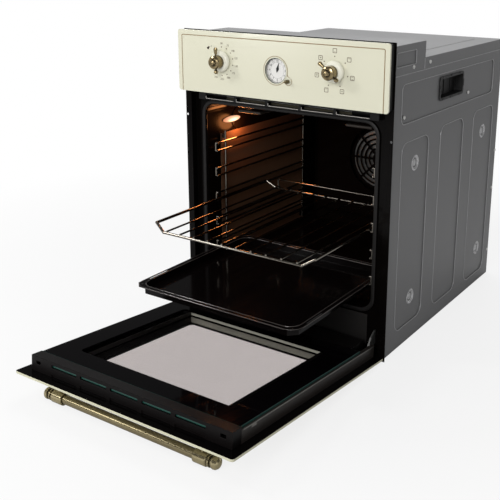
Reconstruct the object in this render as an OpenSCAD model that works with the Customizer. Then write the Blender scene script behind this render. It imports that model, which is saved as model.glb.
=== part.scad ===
// Built-in oven, 45 cm class, with its door open and the shelf and tray pulled out.
// Millimetres. X runs to the right, Y to the back and Z up.
// The origin is the middle of the underside of the casing.
// Places in depth are written from the front edge of the casing, which at_front() moves to its place.

/* [Casing] */
// Width over the two side panels
case_w = 446; // [440:1:452]
// Depth of the casing behind the front frame
case_d = 540; // [520:5:560]
// Distance from the top of the front frame to the raised box behind the controls
head_down = 8; // [4:1:12]
// Height of the step from the raised box to the rest of the casing
step_h = 30; // [26:1:36]
// Depth of the raised box
head_d = 133; // [120:1:160]
// Thickness of the casing sheet
sheet = 1; // [0.8:0.1:1.2]
// Width of the folded flanges that join the sheets
flange = 12; // [10:1:14]
// Depth of the pressed fields in the side panels
emboss = 1.5; // [1:0.5:2]

/* [Front frame] */
// How far the front frame stands out past the casing on each side
front_lap = 7; // [6:0.5:9]
// Height of the front frame
front_h = 586; // [570:1:600]
// Width of the frame's border beside the seat that the door closes into
border = 14; // [12:0.5:15]
// Depth of that seat
seat_d = 14; // [13:1:15]
// Diameter of the holes for the cabinet screws
screw_d = 4.5; // [4:0.5:5]
// Distance of the cabinet screws below the top of the frame
screw_down = 170; // [150:1:200]

/* [Control panel] */
// Height of the control panel
panel_h = 118; // [114:1:120]
// Distance from the front frame to the face of the panel
panel_out = 21; // [20:0.5:23]
// Thickness of the enamelled panel plate
panel_t = 4; // [3:0.5:5]
// Distance of the two knobs from the middle
knob_x = 123; // [110:1:130]
// Distance of the knobs below the top of the panel
knob_down = 55; // [52:1:58]
// Radius of the domed knob skirt
knob_r = 20; // [18:0.5:22]
// Radius of the metal barrel of a knob
barrel_r = 12.5; // [11:0.5:14]
// Height of the knob over the panel face
knob_out = 30; // [26:1:34]
// Radius of a switch shaft
shaft_r = 3; // [2.5:0.5:3.5]
// Radius of the clock opening
clock_r = 23.5; // [22:0.5:24]
// Distance of the clock below the top of the panel
clock_down = 63; // [60:1:66]
// Distance of the printed inlay line from the panel's edge
inlay_in = 9; // [8:0.5:12]
// Width of the inlay line
inlay_w = 1.6; // [1:0.2:2.4]

/* [Cavity] */
// Distance from the casing's side to the inside of the cavity
cavity_side = 33; // [31:1:35]
// Height of the cavity floor above the base
cavity_z = 92; // [88:1:96]
// Distance from the control panel down to the cavity's ceiling
cavity_down = 28; // [27:0.5:32]
// Distance from the cavity's rear wall to the casing's back
cavity_back = 109; // [106:1:120]
// Thickness of the enamelled cavity sheet
cavity_t = 1.2; // [1:0.1:1.5]
// Corner radius of the cavity
cavity_r = 22; // [18:1:26]
// Height of the fan axis over the middle of the cavity
fan_up = 4; // [0:1:10]
// Radius of the fan guard
guard_r = 83; // [76:1:86]
// Width of the door seal
seal_w = 8; // [6:0.5:9]
// Height of the lowest guide wire over the cavity's floor
ladder_up = 40; // [36:1:42]
// Distance of the highest guide wire below the cavity's ceiling
ladder_down = 84; // [80:1:92]
// Number of shelf levels
ladder_n = 5; // [4:1:5]
// Radius of the guide wires
guide_r = 2.2; // [2:0.1:2.6]

/* [Shelf and tray] */
// How much shorter the wire shelf is than the cavity
shelf_less = 60; // [56:1:70]
// Distance that the shelf is pulled out
shelf_travel = 187; // [170:1:195]
// Radius of the shelf's frame wire
rail_r = 2.8; // [2.4:0.1:3]
// Radius of the shelf's cross wires
rod_r = 1.8; // [1.4:0.1:2.2]
// Number of wires across the shelf
rod_n = 10; // [8:1:12]
// How much shorter the baking tray is than the cavity
tray_less = 86; // [84:1:95]
// Distance that the tray is pulled out
tray_travel = 281; // [276:1:284]
// Depth of the tray's well
tray_well = 14; // [12:1:16]

/* [Door] */
// Thickness of the outer door glass
glass_t = 4; // [3:0.5:5]
// Thickness from the outer glass to the inner face of the door
door_t = 31; // [30:0.5:31]
// Angle between the open door and the level
door_rise = 5.16; // [5:0.05:6]
// Distance from the hinge axis to the outer face of the door
hinge_in = 9; // [8.5:0.25:9.5]
// Height of the hinge axis above the base
hinge_z = 15; // [14:0.5:16]
// Radius of the hinge pins
pin_r = 2.5; // [2:0.25:3]
// Radius of the handle bar
bar_r = 8; // [7:0.5:9]
// Distance from the outer glass to the axis of the handle
bar_out = 31.5; // [29:0.5:32]
// Distance between the two handle posts
post_gap = 306; // [290:1:330]

/* [Fits] */
// Radial clearance of a pin or shaft that turns
run_fit = 0.05; // [0.02:0.01:0.1]
// Gap between curved faces of different pieces
air = 0.3; // [0.25:0.05:0.5]

/* [Hidden] */

$fn = 48;
hw = case_w / 2;
in_x = hw - sheet;
front_w = case_w + 2 * front_lap;
head_h = front_h - head_down;
case_h = head_h - step_h;
seat_w = front_w - 2 * border;
screw_z = front_h - screw_down;
knob_z = front_h - knob_down;
clock_z = front_h - clock_down;
front_y = -case_d / 2;
// Front edge of the frame's sheet and rear edge of the frame's floor
frame_t = sheet;
floor_y = seat_d + frame_t;
panel_z = front_h - panel_h;
panel_w = front_w - 2;
// Depth of the panel plate's rear face
plate_y = -panel_out + panel_t;
back_w = 1.5;
// Seat for the door: it ends a little below the control panel
seat_z0 = 8;
seat_z1 = panel_z - 4;
vent_h = 15;
cavity_w = case_w - 2 * cavity_side;
cavity_h = panel_z - cavity_down - cavity_z;
cavity_d = case_d - cavity_back;
fan_z = cavity_z + cavity_h / 2 + fan_up;
ladder_z = cavity_z + ladder_up;
shelf_d = cavity_d - shelf_less;
tray_d = cavity_d - tray_less;
cav_top = cavity_z + cavity_h;
cav_out = cavity_w / 2 + cavity_t;
// Chamber of the hot air fan, between the baffle and the cavity's rear wall
chamber = 27;
baffle_y = floor_y + cavity_d - chamber - 15;
rear_y = baffle_y + cavity_t + chamber;
cav_end = rear_y + cavity_t;
fan_r = 68;
fan_hub_r = 9;
fan_t = 1.2;
fan_deep = 15;
// The fan turns this far behind the baffle
fan_gap = 5;
fan_shaft_r = 4;
motor_r = 40;
motor_len = 46;
flange_r = 46;
flange_t = 2;
element_r = 3.2;
// Straight ends of the heating elements, which leave through the cavity's rear wall
ring_r = guard_r + 9;
ring_end_x = 20;
ring_end_z = ring_r + 4;
grill_z = cav_top - 20;
grill_end_x = 60;
bottom_z = cavity_z - cavity_t - air - element_r;
bottom_end_x = 40;
element_end = cav_end + 10;
// Baffle box: its edges lie this far inside the cavity's walls
baffle_side = 25;
baffle_low = 40;
baffle_high = 38;
baffle_r = 16;
guard_hub_r = 18;
guard_spokes = 8;
// Thermostat bulb under the ceiling
bulb_in = 30;
bulb_down = 12;
bulb_len = 160;
bulb_r = 3;
// Insulation blanket round the cavity
wool_side = 17;
wool_top = 14;
wool_low = 14;
wool_out = cav_out + air + wool_side;
wool_z0 = cavity_z - cavity_t - 2 * element_r - 4 - wool_low;
wool_z1 = cav_top + cavity_t + air + wool_top;
// Guide ladders
guide_x = cavity_w / 2 - 12;
guide_gap = 16;
ladder_step = (cavity_h - ladder_up - guide_gap - ladder_down) / (ladder_n - 1);
ladder_top = cav_top - ladder_down;
guide_y0 = 30;
guide_y1 = baffle_y - 14;
rail_x = guide_x - 3.5;
// The upright wires stand outside the guide wires and sink into them this far
ladder_bite = 1;
upright_r = guide_r - 0.2;
upright_x = guide_x + guide_r + upright_r - ladder_bite;
upright_y = [guide_y0 + 32, guide_y1 - 30];
rail_dz = sqrt(pow(rail_r + guide_r + air, 2) - pow(guide_x - rail_x, 2));
shelf_level = 2;
shelf_z = ladder_z + shelf_level * ladder_step + rail_dz;
// The shelf and the tray rest behind the door with their fronts this far inside the frame
shelf_home = 21;
tray_home = 56;
shelf_y = shelf_home - shelf_travel;
tray_y = tray_home - tray_travel;
shelf_drop = 14;
tray_z = ladder_z + guide_r + air;
tray_t = 1.2;
rim_w = 9;
tray_x = guide_x + guide_r - ladder_bite - air;
// Door, written in its closed place
door_y = -panel_out - 1;
hinge_y = door_y + hinge_in;
door_angle = 90 - door_rise;
door_z0 = 3;
door_z1 = panel_z - 3;
inner_y = door_y + door_t;
core_z0 = 12;
core_z1 = panel_z - 24;
core_w = front_w - 36;
hinge_x = core_w / 2 - 12;
strip_h = 22;
rail_h = 50;
rail_t = 1.5;
rail_in = core_w / 2 - 24;
middle_y = door_y + glass_t + 11;
profile_t = 1;
handle_z = door_z1 - 30;
// Hinge parts
claw_t = 3;
cheek_t = 1.5;
claw_gap = 1;
// Lower edge of the claw where it goes through the frame
claw_z0 = hinge_z + 9;
boss_r = 4.5;
// Blower over the cavity
duct_z = wool_z1 + 1.5;
duct_h = 16;
duct_w = cavity_w - 80;
blower_y = case_d - 180;
blower_r = 52;
blower_h = 30;
// How far a switch shaft stands out of the panel's face, and how deep the knob's bore goes
shaft_out = 13.5;
bore_out = 14;
// Clock stack
clock_deep = 26;
glass_y = -panel_out + 0.6;
dial_y = plate_y + 1.5;
case_wall = 1.2;
set_x = 27.5;
set_z = clock_z - 17;
set_r = 3.6;
led_x = -knob_x - 32;
led_z = front_h - 32;
led_r = 2.2;
// Carrying grips in the side panels
grip_y = case_d / 2 - 7;
grip_w = 112;
grip_h = 40;
grip_z = case_h - 68;
grip_in = 19;
lamp_z = cav_top - 46;
lamp_y = 120;
// Terminal box for the supply cable
term_x = hw - 85;
term_z = case_h - 102;
term_d = 22;
term_w = 64;
term_h = 54;
// Cable entry in the terminal box's underside
cable_r = 6;
lamp_r = 17;
lamp_wall = 2;
// How much thicker a tube's knee is than the tube, and how far its straight lengths stop from the knee's middle
knee = 0.12;
inset = 0.4;
// The selector stands between two of its marks, and the hands near one o'clock
selector_turn = -51.4;
hour_turn = 15;
minute_turn = 15;

module at_front() { translate([0, front_y, 0]) children(); }

// Carries the door's pieces from the closed place to the open one
module door_open() {
    at_front() translate([0, hinge_y, hinge_z]) rotate([door_angle, 0, 0])
        translate([0, -hinge_y, -hinge_z]) children();
}

// Corner points of a rectangle with round corners, its lower left corner at x, y
function arc(cx, cy, r, a, n) =
    [for (i = [0 : n]) [cx + r * cos(a + 90 * i / n), cy + r * sin(a + 90 * i / n)]];
function round_rect(x, y, w, h, r, n = 6) = concat(
    arc(x + w - r, y + r, r, -90, n), arc(x + w - r, y + h - r, r, 0, n),
    arc(x + r, y + h - r, r, 90, n), arc(x + r, y + r, r, 180, n));

// Plate in the front plane between two depths
module wall_y(y0, y1) { translate([0, y1, 0]) rotate([90, 0, 0]) linear_extrude(y1 - y0) children(); }
// Plate in a side plane between two widths, drawn as depth and height
module wall_x(x0, x1) { translate([x0, 0, 0]) rotate([90, 0, 90]) linear_extrude(x1 - x0) children(); }
// Upright rectangle that is centred on the middle
module centred(w, z0, z1, r = 0) {
    if (r > 0) polygon(round_rect(-w / 2, z0, w, z1 - z0, r));
    else translate([-w / 2, z0]) square([w, z1 - z0]);
}
module block(x0, x1, y0, y1, z0, z1) { translate([x0, y0, z0]) cube([x1 - x0, y1 - y0, z1 - z0]); }
// Rod along one of the three directions, from its start point
module rod_x(p, len, r) { translate(p) rotate([0, 90, 0]) cylinder(h = len, r = r); }
module rod_y(p, len, r) { translate(p) rotate([-90, 0, 0]) cylinder(h = len, r = r); }
module rod_z(p, len, r) { translate(p) cylinder(h = len, r = r); }

// Casing

// Pressed fields of a side panel as [depth, height, length, rise, radius]
FIELDS = [[43, case_h - 111, case_d - 91, 72, 12], [50, 36, 116, case_h - 182, 20], [221, 30, 115, case_h - 172, 20],
    [case_d - 148, 24, 114, case_h - 164, 20], [16, case_h - 7, head_d - 55, 25, 3]];
DIMPLES = [[112, case_h - 192], [117, 88], [case_d - 88, case_h - 191], [case_d - 76, 84]];
dimple_r = 14;

module side_outline() {
    polygon([[0, 0], [case_d, 0], [case_d, case_h], [head_d, case_h], [head_d, head_h], [0, head_h]]);
}

// Right side panel; the left one is its mirror image
module side_sheet() {
    crease = case_h - 21;
    difference() {
        union() {
            wall_x(in_x, hw) side_outline();
            for (f = FIELDS)
                wall_x(in_x - emboss, in_x) polygon(round_rect(f[0], f[1], f[2], f[3], f[4]));
            for (d = DIMPLES) translate([in_x - emboss, d[0], d[1]]) rotate([0, -90, 0])
                cylinder(h = emboss, r1 = dimple_r + sheet, r2 = dimple_r - emboss);
            block(in_x - flange, in_x, case_d - 2 * sheet, case_d - sheet, sheet, case_h - sheet);
            block(in_x - flange, in_x, sheet, case_d - 2 * sheet, sheet, 2 * sheet);
            block(in_x - flange, in_x, head_d, case_d - 2 * sheet, case_h - 2 * sheet, case_h - sheet);
            block(in_x - flange, in_x, sheet, head_d - sheet, head_h - 2 * sheet, head_h - sheet);
        }
        for (f = FIELDS)
            wall_x(hw - emboss, hw + 1)
                polygon(round_rect(f[0] + sheet, f[1] + sheet,
                    f[2] - 2 * sheet, f[3] - 2 * sheet, f[4] - sheet));
        for (d = DIMPLES) translate([hw - emboss - emboss, d[0], d[1]]) rotate([0, 90, 0])
            cylinder(h = emboss + 0.01, r1 = dimple_r - 2 * emboss, r2 = dimple_r);
        wall_x(in_x - 5, hw + 1) grip_outline(0, 5);
    }
}

module side_panel_right() { color("dimgray") at_front() side_sheet(); }
module side_panel_left() { color("dimgray") at_front() mirror([1, 0, 0]) side_sheet(); }

module base_plate() {
    color("gray") at_front() difference() {
        block(-in_x, in_x, 0, case_d - sheet, 0, sheet);
        for (x = [-150 : 60 : 150]) for (y = [120 : 90 : 420])
            block(x - 20, x + 20, y, y + 5, -1, sheet + 1);
    }
}

module back_panel() {
    color("gray") at_front() difference() {
        wall_y(case_d - sheet, case_d) centred(2 * in_x, 0, case_h - sheet);
        for (x = [-150 : 30 : 90]) for (z = [fan_z + 30, fan_z + 70])
            wall_y(case_d - 2, case_d + 1) polygon(round_rect(x, z, 22, 5, 2.4));
        for (x = [-90 : 30 : 60])
            wall_y(case_d - 2, case_d + 1) polygon(round_rect(x, case_h - 48, 22, 6, 2.9));
        wall_y(case_d - 2, case_d + 1) polygon(round_rect(term_x - 18, term_z + 16, 36, 22, 3));
    }
}

module head_cover() {
    color("darkgray") at_front() {
        block(-in_x, in_x, 0, head_d, head_h - sheet, head_h);
        block(-in_x, in_x, head_d - sheet, head_d, case_h, head_h - sheet);
    }
}

module rear_cover() {
    color("darkgray") at_front() difference() {
        union() {
            block(-in_x, in_x, head_d, case_d, case_h - sheet, case_h);
            block(-in_x, in_x, head_d - sheet, head_d, case_h - 3 * sheet, case_h);
        }
        for (x = [-120 : 24 : 120]) block(x, x + 14, case_d - 60, case_d - 45, case_h - 2, case_h + 1);
    }
}

// Front frame and its seals

module front_frame() {
    color("black") at_front() difference() {
        union() {
            wall_y(-frame_t, 0) centred(front_w, 0, front_h);
            wall_y(0, floor_y) centred(seat_w + 2 * frame_t, seat_z0 - frame_t, seat_z1 + frame_t);
        }
        wall_y(-2, seat_d) centred(seat_w, seat_z0, seat_z1);
        wall_y(-2, floor_y + 1) centred(cavity_w, cavity_z, cav_top, cavity_r);
        // Opening behind the control panel
        wall_y(-2, 1) centred(2 * hw - 56, panel_z + 14, front_h - 16);
        // Air outlet, hinge slots and cabinet screw holes
        wall_y(-2, floor_y + 1) centred(duct_w - 20, seat_z1 - vent_h + 2, seat_z1 - 3);
        for (s = [-1, 1]) {
            block(s * hinge_x - claw_t / 2 - claw_gap, s * hinge_x + claw_t / 2 + claw_gap,
                1, floor_y + 1, claw_z0, hinge_z + 39);
            rod_y([s * (hw + front_w / 2) / 2, -2, screw_z], 4, screw_d / 2);
        }
    }
}

module vent_strip() {
    half = seat_w / 2 - 16;
    web = 6;
    pitch = (2 * half - 30) / 5;
    color("black") at_front() difference() {
        block(-half, half, 3, seat_d, seat_z1 - vent_h, seat_z1 - 0.5);
        for (i = [-2 : 2])
            block(i * pitch - (pitch - web) / 2, i * pitch + (pitch - web) / 2,
                2, seat_d + 1, seat_z1 - vent_h + 3, seat_z1 - 4);
    }
}

module gasket() {
    color("dimgray") at_front() wall_y(inner_y + 0.5, seat_d) difference() {
        centred(cavity_w + 2 * seal_w + 2, cavity_z - seal_w - 1, cav_top + seal_w + 1 > seat_z1 - vent_h - 1 ?
            seat_z1 - vent_h - 1 : cav_top + seal_w + 1, cavity_r + seal_w);
        centred(cavity_w + 2, cavity_z - 1, cav_top + 1, cavity_r + 1);
    }
}

// Control panel

module control_panel() {
    color("beige") at_front() difference() {
        wall_y(-panel_out, plate_y) centred(panel_w, panel_z, front_h, 5);
        for (s = [-1, 1]) rod_y([s * knob_x, -panel_out - 1, knob_z], panel_t + 2, shaft_r + 3);
        rod_y([0, -panel_out - 1, clock_z], panel_t + 2, clock_r);
        rod_y([set_x, -panel_out - 1, set_z], panel_t + 2, 2);
        rod_y([led_x, -panel_out - 1, led_z], panel_t + 2, led_r);
        wall_y(-panel_out - 1, -panel_out + 0.4) inlay_outline(0);
    }
}

// Line that follows the panel's top and sides and runs off its lower edge
module inlay_outline(slack) {
    x = panel_w / 2 - inlay_in;
    difference() {
        centred(2 * x, panel_z - 40, front_h - inlay_in, 14);
        centred(2 * (x - inlay_w), panel_z - 41, front_h - inlay_in - inlay_w, 14 - inlay_w);
        centred(panel_w + 2, panel_z - 60, panel_z - slack);
    }
}

module panel_inlay() { color("tan") at_front() wall_y(-panel_out - 0.1, -panel_out + 0.4) inlay_outline(0); }

module panel_backing() {
    color("black") at_front() difference() {
        wall_y(plate_y, -frame_t) centred(panel_w - 4, panel_z + 2, front_h - 2, 4);
        wall_y(plate_y + back_w, 0) centred(panel_w - 10, panel_z + 5, front_h - 5, 3);
        for (s = [-1, 1]) rod_y([s * knob_x, plate_y - 1, knob_z], 4, shaft_r + 3);
        rod_y([0, plate_y - 1, clock_z], 4, clock_r + case_wall + air);
        rod_y([set_x, plate_y - 1, set_z], 4, 4);
        rod_y([led_x, plate_y - 1, led_z], 4, led_r);
    }
}

// Body of a rotary switch behind the panel, with its shaft
module switch_body(len, w) {
    translate([0, plate_y + back_w, 0]) {
        wall_y(0, 12) circle(r = w / 2);
        wall_y(12, 12 + len) centred(w + 8, -w / 2 - 2, w / 2 + 2, 4);
    }
    difference() {
        rod_y([0, -panel_out - shaft_out, 0], shaft_out + panel_t + back_w, shaft_r);
        block(-shaft_r, shaft_r, -panel_out - shaft_out - 1, -panel_out - 4, shaft_r - 1.2, shaft_r);
    }
}

module thermostat() { color("silver") at_front() translate([-knob_x, 0, knob_z]) switch_body(30, 26); }
module selector_switch() { color("silver") at_front() translate([knob_x, 0, knob_z]) switch_body(44, 32); }

// Domed skirt of a knob, its axis along Y and its back at the panel
module knob_skirt() {
    gap = 0.6;
    rotate([90, 0, 0]) difference() {
        rotate_extrude() polygon(concat([[0, gap], [knob_r - 1.5, gap], [knob_r, gap + 1.5]],
            [for (a = [10 : 10 : 60]) [knob_r - 7 * (1 - cos(a)), gap + 1.5 + 7 * sin(a)]],
            [[barrel_r - 2, gap + 8.5], [0, gap + 8.5]]));
        translate([0, 0, -1]) cylinder(h = 20, r = shaft_r + run_fit);
    }
}

// Metal barrel with its cross lever, one end a teardrop and the other a ball
module knob_lever() {
    base = 9.1;
    mid = 19;
    rotate([90, 0, 0]) difference() {
        union() {
            rotate_extrude() polygon([[0, base], [barrel_r - 1.5, base], [barrel_r - 0.5, base + 1],
                [barrel_r - 0.5, mid - 5], [barrel_r, mid - 4], [barrel_r, mid + 5], [barrel_r - 1, mid + 6.5],
                [barrel_r - 3.5, mid + 7.5], [6.5, mid + 7.5], [6, mid + 6.5], [5.5, mid + 8.5],
                [4, knob_out - 0.6], [0, knob_out]]);
            translate([0, 0, mid - 1]) rotate([-90, 0, 0]) {
                rotate_extrude() polygon([[0, 10], [2, 10], [2.2, 15], [3.4, 21], [3.9, 24],
                    [3.2, 26.4], [1.6, 27.4], [0, 27.6]]);
                mirror([0, 0, 1]) rotate_extrude() polygon([[0, 10], [2, 10], [2.2, 14], [3.6, 16], [4, 18.4],
                    [3.4, 20.6], [1.8, 21.8], [0, 22]]);
            }
        }
        translate([0, 0, base - 1]) cylinder(h = bore_out - base + 1, r = shaft_r + run_fit);
    }
}

module thermostat_knob() { color("ivory") at_front() translate([-knob_x, -panel_out, knob_z]) knob_skirt(); }
module thermostat_lever() { color("peru") at_front() translate([-knob_x, -panel_out, knob_z]) knob_lever(); }
module selector_knob() { color("ivory") at_front() translate([knob_x, -panel_out, knob_z]) knob_skirt(); }
module selector_lever() {
    color("peru") at_front() translate([knob_x, -panel_out, knob_z]) rotate([0, selector_turn, 0]) knob_lever();
}

module indicator_lens() {
    color("maroon") at_front() {
        rod_y([led_x, -panel_out - 0.6, led_z], panel_t + back_w + 0.6, led_r - run_fit);
        rod_y([led_x, plate_y + back_w, led_z], 9, led_r + 2);
    }
}

// Clock

module clock_case() {
    rim = clock_r + case_wall;
    color("silver") at_front() difference() {
        union() {
            rod_y([0, plate_y, clock_z], clock_deep, rim);
            wall_y(plate_y + 12, plate_y + clock_deep)
                centred(2 * rim + 8, clock_z - rim - 4, clock_z + rim + 2, 5);
        }
        rod_y([0, plate_y - 1, clock_z], 2.5 + 1, clock_r);
        rod_y([0, plate_y, clock_z], 12, 1.5 + run_fit);
        rod_y([set_x, plate_y - 1, set_z], 14, 4);
    }
}

module clock_dial() {
    color("white") at_front() difference() {
        rod_y([0, dial_y, clock_z], 1, clock_r - run_fit);
        rod_y([0, dial_y - 1, clock_z], 4, 1.5 + run_fit);
    }
}

module clock_glass() { color("lightcyan") at_front() rod_y([0, glass_y, clock_z], 1.5, clock_r - run_fit); }

// A hand as a thin tapered blade with a hub, turned clockwise from twelve
module hand(len, w, y, t, hub, turn) {
    rotate([0, turn, 0]) {
        wall_y(y, y + t) polygon([[-w / 2, 0], [-w * 0.7, len * 0.35], [-0.3, len * 0.85], [0, len],
            [0.3, len * 0.85], [w * 0.7, len * 0.35], [w / 2, 0], [0, -4]]);
        rod_y([0, y - 0.1, 0], t + 0.2, hub);
    }
}
module hour_hand() {
    color("black") at_front() translate([0, 0, clock_z]) difference() {
        hand(10.5, 4.4, dial_y - 0.8, 0.4, 2, hour_turn);
        rod_y([0, dial_y - 2, 0], 4, 0.8 + run_fit);
    }
}
module minute_hand() {
    color("black") at_front() translate([0, 0, clock_z]) {
        hand(16, 2.4, dial_y - 1.5, 0.4, 1.6, minute_turn);
        rod_y([0, dial_y - 1.5, 0], 5, 0.8);
    }
}

module clock_setting_knob() {
    color("peru") at_front() translate([set_x, -panel_out, set_z]) rotate([90, 0, 0]) {
        rotate_extrude() polygon([[0, 1], [set_r - 0.5, 1], [set_r, 1.6], [set_r, 8],
            [set_r - 0.6, 9], [0, 9.4]]);
        translate([0, 0, -panel_t - 8]) cylinder(h = panel_t + 10, r = 1.6);
    }
}

// Cavity and what is in it

module cavity() {
    color("#2a1c14") at_front() difference() {
        union() {
            wall_y(floor_y, cav_end)
                centred(2 * cav_out, cavity_z - cavity_t, cav_top + cavity_t, cavity_r + cavity_t);
            wall_y(floor_y, floor_y + cavity_t)
                centred(2 * cav_out + 14, cavity_z - 8, cav_top + 7, cavity_r + 7);
        }
        wall_y(floor_y - 1, rear_y) centred(cavity_w, cavity_z, cav_top, cavity_r);
        rod_y([0, rear_y - 1, fan_z], 4, 12);
        for (s = [-1, 1]) {
            rod_y([s * ring_end_x, rear_y - 1, fan_z + ring_end_z], 4, element_r + air);
            rod_y([s * grill_end_x, rear_y - 1, grill_z], 4, element_r + air);
        }
        rod_x([-cav_out - 1, lamp_y, lamp_z], 4, lamp_r + air);
    }
}

function on_circle(r, a) = [r * cos(a), r * sin(a)];
// Slot between two radii and two angles
module arc_slot(r0, r1, a0, a1, n = 6) {
    polygon(concat([for (i = [0 : n]) on_circle(r1, a0 + (a1 - a0) * i / n)],
        [for (i = [n : -1 : 0]) on_circle(r0, a0 + (a1 - a0) * i / n)]));
}

// Baffle with the stamped fan guard: rings of slots between eight spokes
module fan_baffle() {
    box_x = cavity_w / 2 - baffle_side;
    z0 = cavity_z + baffle_low;
    z1 = cav_top - baffle_high;
    rings = 6;
    step = (guard_r - guard_hub_r) / rings;
    turn = 360 / guard_spokes;
    color("#1f1612") at_front() difference() {
        wall_y(baffle_y, rear_y) centred(2 * box_x, z0, z1, baffle_r);
        wall_y(baffle_y + cavity_t, rear_y + 1)
            centred(2 * (box_x - cavity_t), z0 + cavity_t, z1 - cavity_t, baffle_r - cavity_t);
        translate([0, 0, fan_z]) for (i = [0 : rings - 1]) for (k = [0 : guard_spokes - 1]) {
            r = guard_hub_r + i * step;
            // Half the angle of a spoke, which keeps its width from ring to ring
            half = 120 / r;
            wall_y(baffle_y - 1, baffle_y + cavity_t + 1)
                arc_slot(r, r + step * 0.62, k * turn + half, (k + 1) * turn - half);
        }
        // Outlets for the hot air in the box's sides
        for (s = [-1, 1]) for (z = [z0 + 40 : 34 : z1 - 50])
            block(s * box_x - 4, s * box_x + 4, baffle_y + 5, rear_y - 5, z, z + 20);
    }
}

module convection_fan() {
    blades = 14;
    color("silver") at_front() translate([0, 0, fan_z]) {
        y0 = baffle_y + cavity_t + fan_gap;
        difference() {
            union() {
                rod_y([0, y0, 0], fan_t, fan_r);
                rod_y([0, y0 - 3, 0], fan_deep, fan_hub_r);
                for (k = [0 : blades - 1]) rotate([0, k * 360 / blades, 0])
                    block(fan_r - 24, fan_r - 1, y0 + fan_t / 2, y0 + fan_deep, -fan_t / 2, fan_t / 2);
            }
            rod_y([0, y0, 0], fan_deep - 1, fan_shaft_r + run_fit);
        }
    }
}

module convection_motor() {
    shaft_y = baffle_y + cavity_t + fan_gap + 2;
    color("silver") at_front() translate([0, 0, fan_z]) {
        rod_y([0, cav_end, 0], flange_t, flange_r);
        rod_y([0, cav_end + flange_t, 0], motor_len, motor_r);
        rod_y([0, shaft_y, 0], cav_end - shaft_y, fan_shaft_r);
    }
}

module ring_element() {
    y = rear_y - 9;
    end_r = element_r - 0.4;
    color("dimgray") at_front() translate([0, y, fan_z]) {
        rotate([90, 0, 0]) rotate_extrude() translate([ring_r, 0]) circle(r = element_r);
        for (s = [-1, 1]) {
            rod_y([s * ring_end_x, 0, ring_end_z], cav_end - y + 12, end_r);
            rod_z([s * ring_end_x, 0, ring_end_z - 8], 8, end_r);
        }
    }
}

// Tube through a list of points. Its knees are balls, a little thicker than the tube,
// and the straight lengths end inside them.
module tube(points, r) {
    $fn = 24;
    for (i = [0 : len(points) - 2]) {
        a = points[i];
        v = points[i + 1] - a;
        translate(a + v * inset / norm(v)) rotate([0, acos(v[2] / norm(v)), atan2(v[1], v[0])])
            cylinder(h = norm(v) - 2 * inset, r = r);
    }
    for (p = points) translate(p) sphere(r = r + knee);
}

module grill_element() {
    z = grill_z;
    y0 = 70;
    y1 = rear_y - 70;
    y2 = y1 - 60;
    x0 = grill_end_x;
    x1 = cavity_w / 2 - 90;
    x2 = cavity_w / 2 - 40;
    color("dimgray") at_front() tube([[-x0, element_end, z], [-x0, y1, z], [-x2, y1, z], [-x2, y0, z],
        [-x1, y0, z], [-x1, y2, z], [x1, y2, z], [x1, y0, z], [x2, y0, z], [x2, y1, z], [x0, y1, z],
        [x0, element_end, z]], element_r);
}

module bottom_element() {
    z = bottom_z;
    x0 = bottom_end_x;
    x = cavity_w / 2 - 50;
    y0 = 80;
    y1 = rear_y - 52;
    color("dimgray") at_front() tube([[-x0, element_end, z], [-x0, y1, z], [-x, y1, z], [-x, y0, z],
        [x, y0, z], [x, y1, z], [x0, y1, z], [x0, element_end, z]], element_r);
}

module insulation() {
    y0 = floor_y + cavity_t + 1;
    y1 = cav_end + 14;
    low = wool_z0 + wool_low;
    color("khaki") at_front() difference() {
        wall_y(y0, y1) centred(2 * wool_out, wool_z0, wool_z1, 10);
        wall_y(y0 - 1, cav_end + air) centred(2 * (cav_out + air), low, cav_top + cavity_t + air, 4);
        rod_y([0, y0, fan_z], y1, flange_r + 1);
        for (s = [-1, 1]) {
            rod_y([s * ring_end_x, y0, fan_z + ring_end_z], y1, element_r + 2);
            rod_y([s * grill_end_x, y0, grill_z], y1, element_r + 2);
            rod_y([s * bottom_end_x, y0, bottom_z], y1, element_r + 2);
        }
        rod_x([-wool_out - 1, lamp_y, lamp_z], 30, lamp_r + 3);
    }
}

module oven_lamp() {
    color("white") at_front() {
        difference() {
            rod_x([-cav_out - 12, lamp_y, lamp_z], 12 + cavity_t - 0.5, lamp_r);
            rod_x([-cav_out - 9, lamp_y, lamp_z], 20, lamp_r - lamp_wall);
        }
        rod_x([-cav_out - 9, lamp_y, lamp_z], 7, 5);
    }
}

module lamp_lens() {
    color("lightyellow") at_front() translate([-cavity_w / 2 - 0.7, lamp_y, lamp_z]) rotate([0, 90, 0])
        rotate_extrude() polygon([[0, 0], [lamp_r - lamp_wall - air, 0], [lamp_r - lamp_wall - air, 0.7],
            [lamp_r + 4, 0.7], [lamp_r + 4, 2.5], [lamp_r, 5.5], [lamp_r - 8, 7.5], [0, 8]]);
}

module ladder(s) {
    over = 20;
    color("silver") at_front() {
        for (y = upright_y)
            rod_z([s * upright_x, y, ladder_z - over], ladder_top - ladder_z + 2 * over, upright_r);
        for (i = [0 : ladder_n - 1]) {
            z = ladder_z + i * ladder_step;
            for (dz = [0, guide_gap]) {
                rod_y([s * guide_x, guide_y0, z + dz], guide_y1 - guide_y0, guide_r);
                for (y = [guide_y0, guide_y1]) translate([s * guide_x, y, z + dz]) sphere(r = guide_r);
                translate([s * upright_x, guide_y0, z + dz]) sphere(r = upright_r);
            }
            rod_z([s * upright_x, guide_y0, z], guide_gap, upright_r);
        }
    }
}
module ladder_left() { ladder(-1); }
module ladder_right() { ladder(1); }

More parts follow.
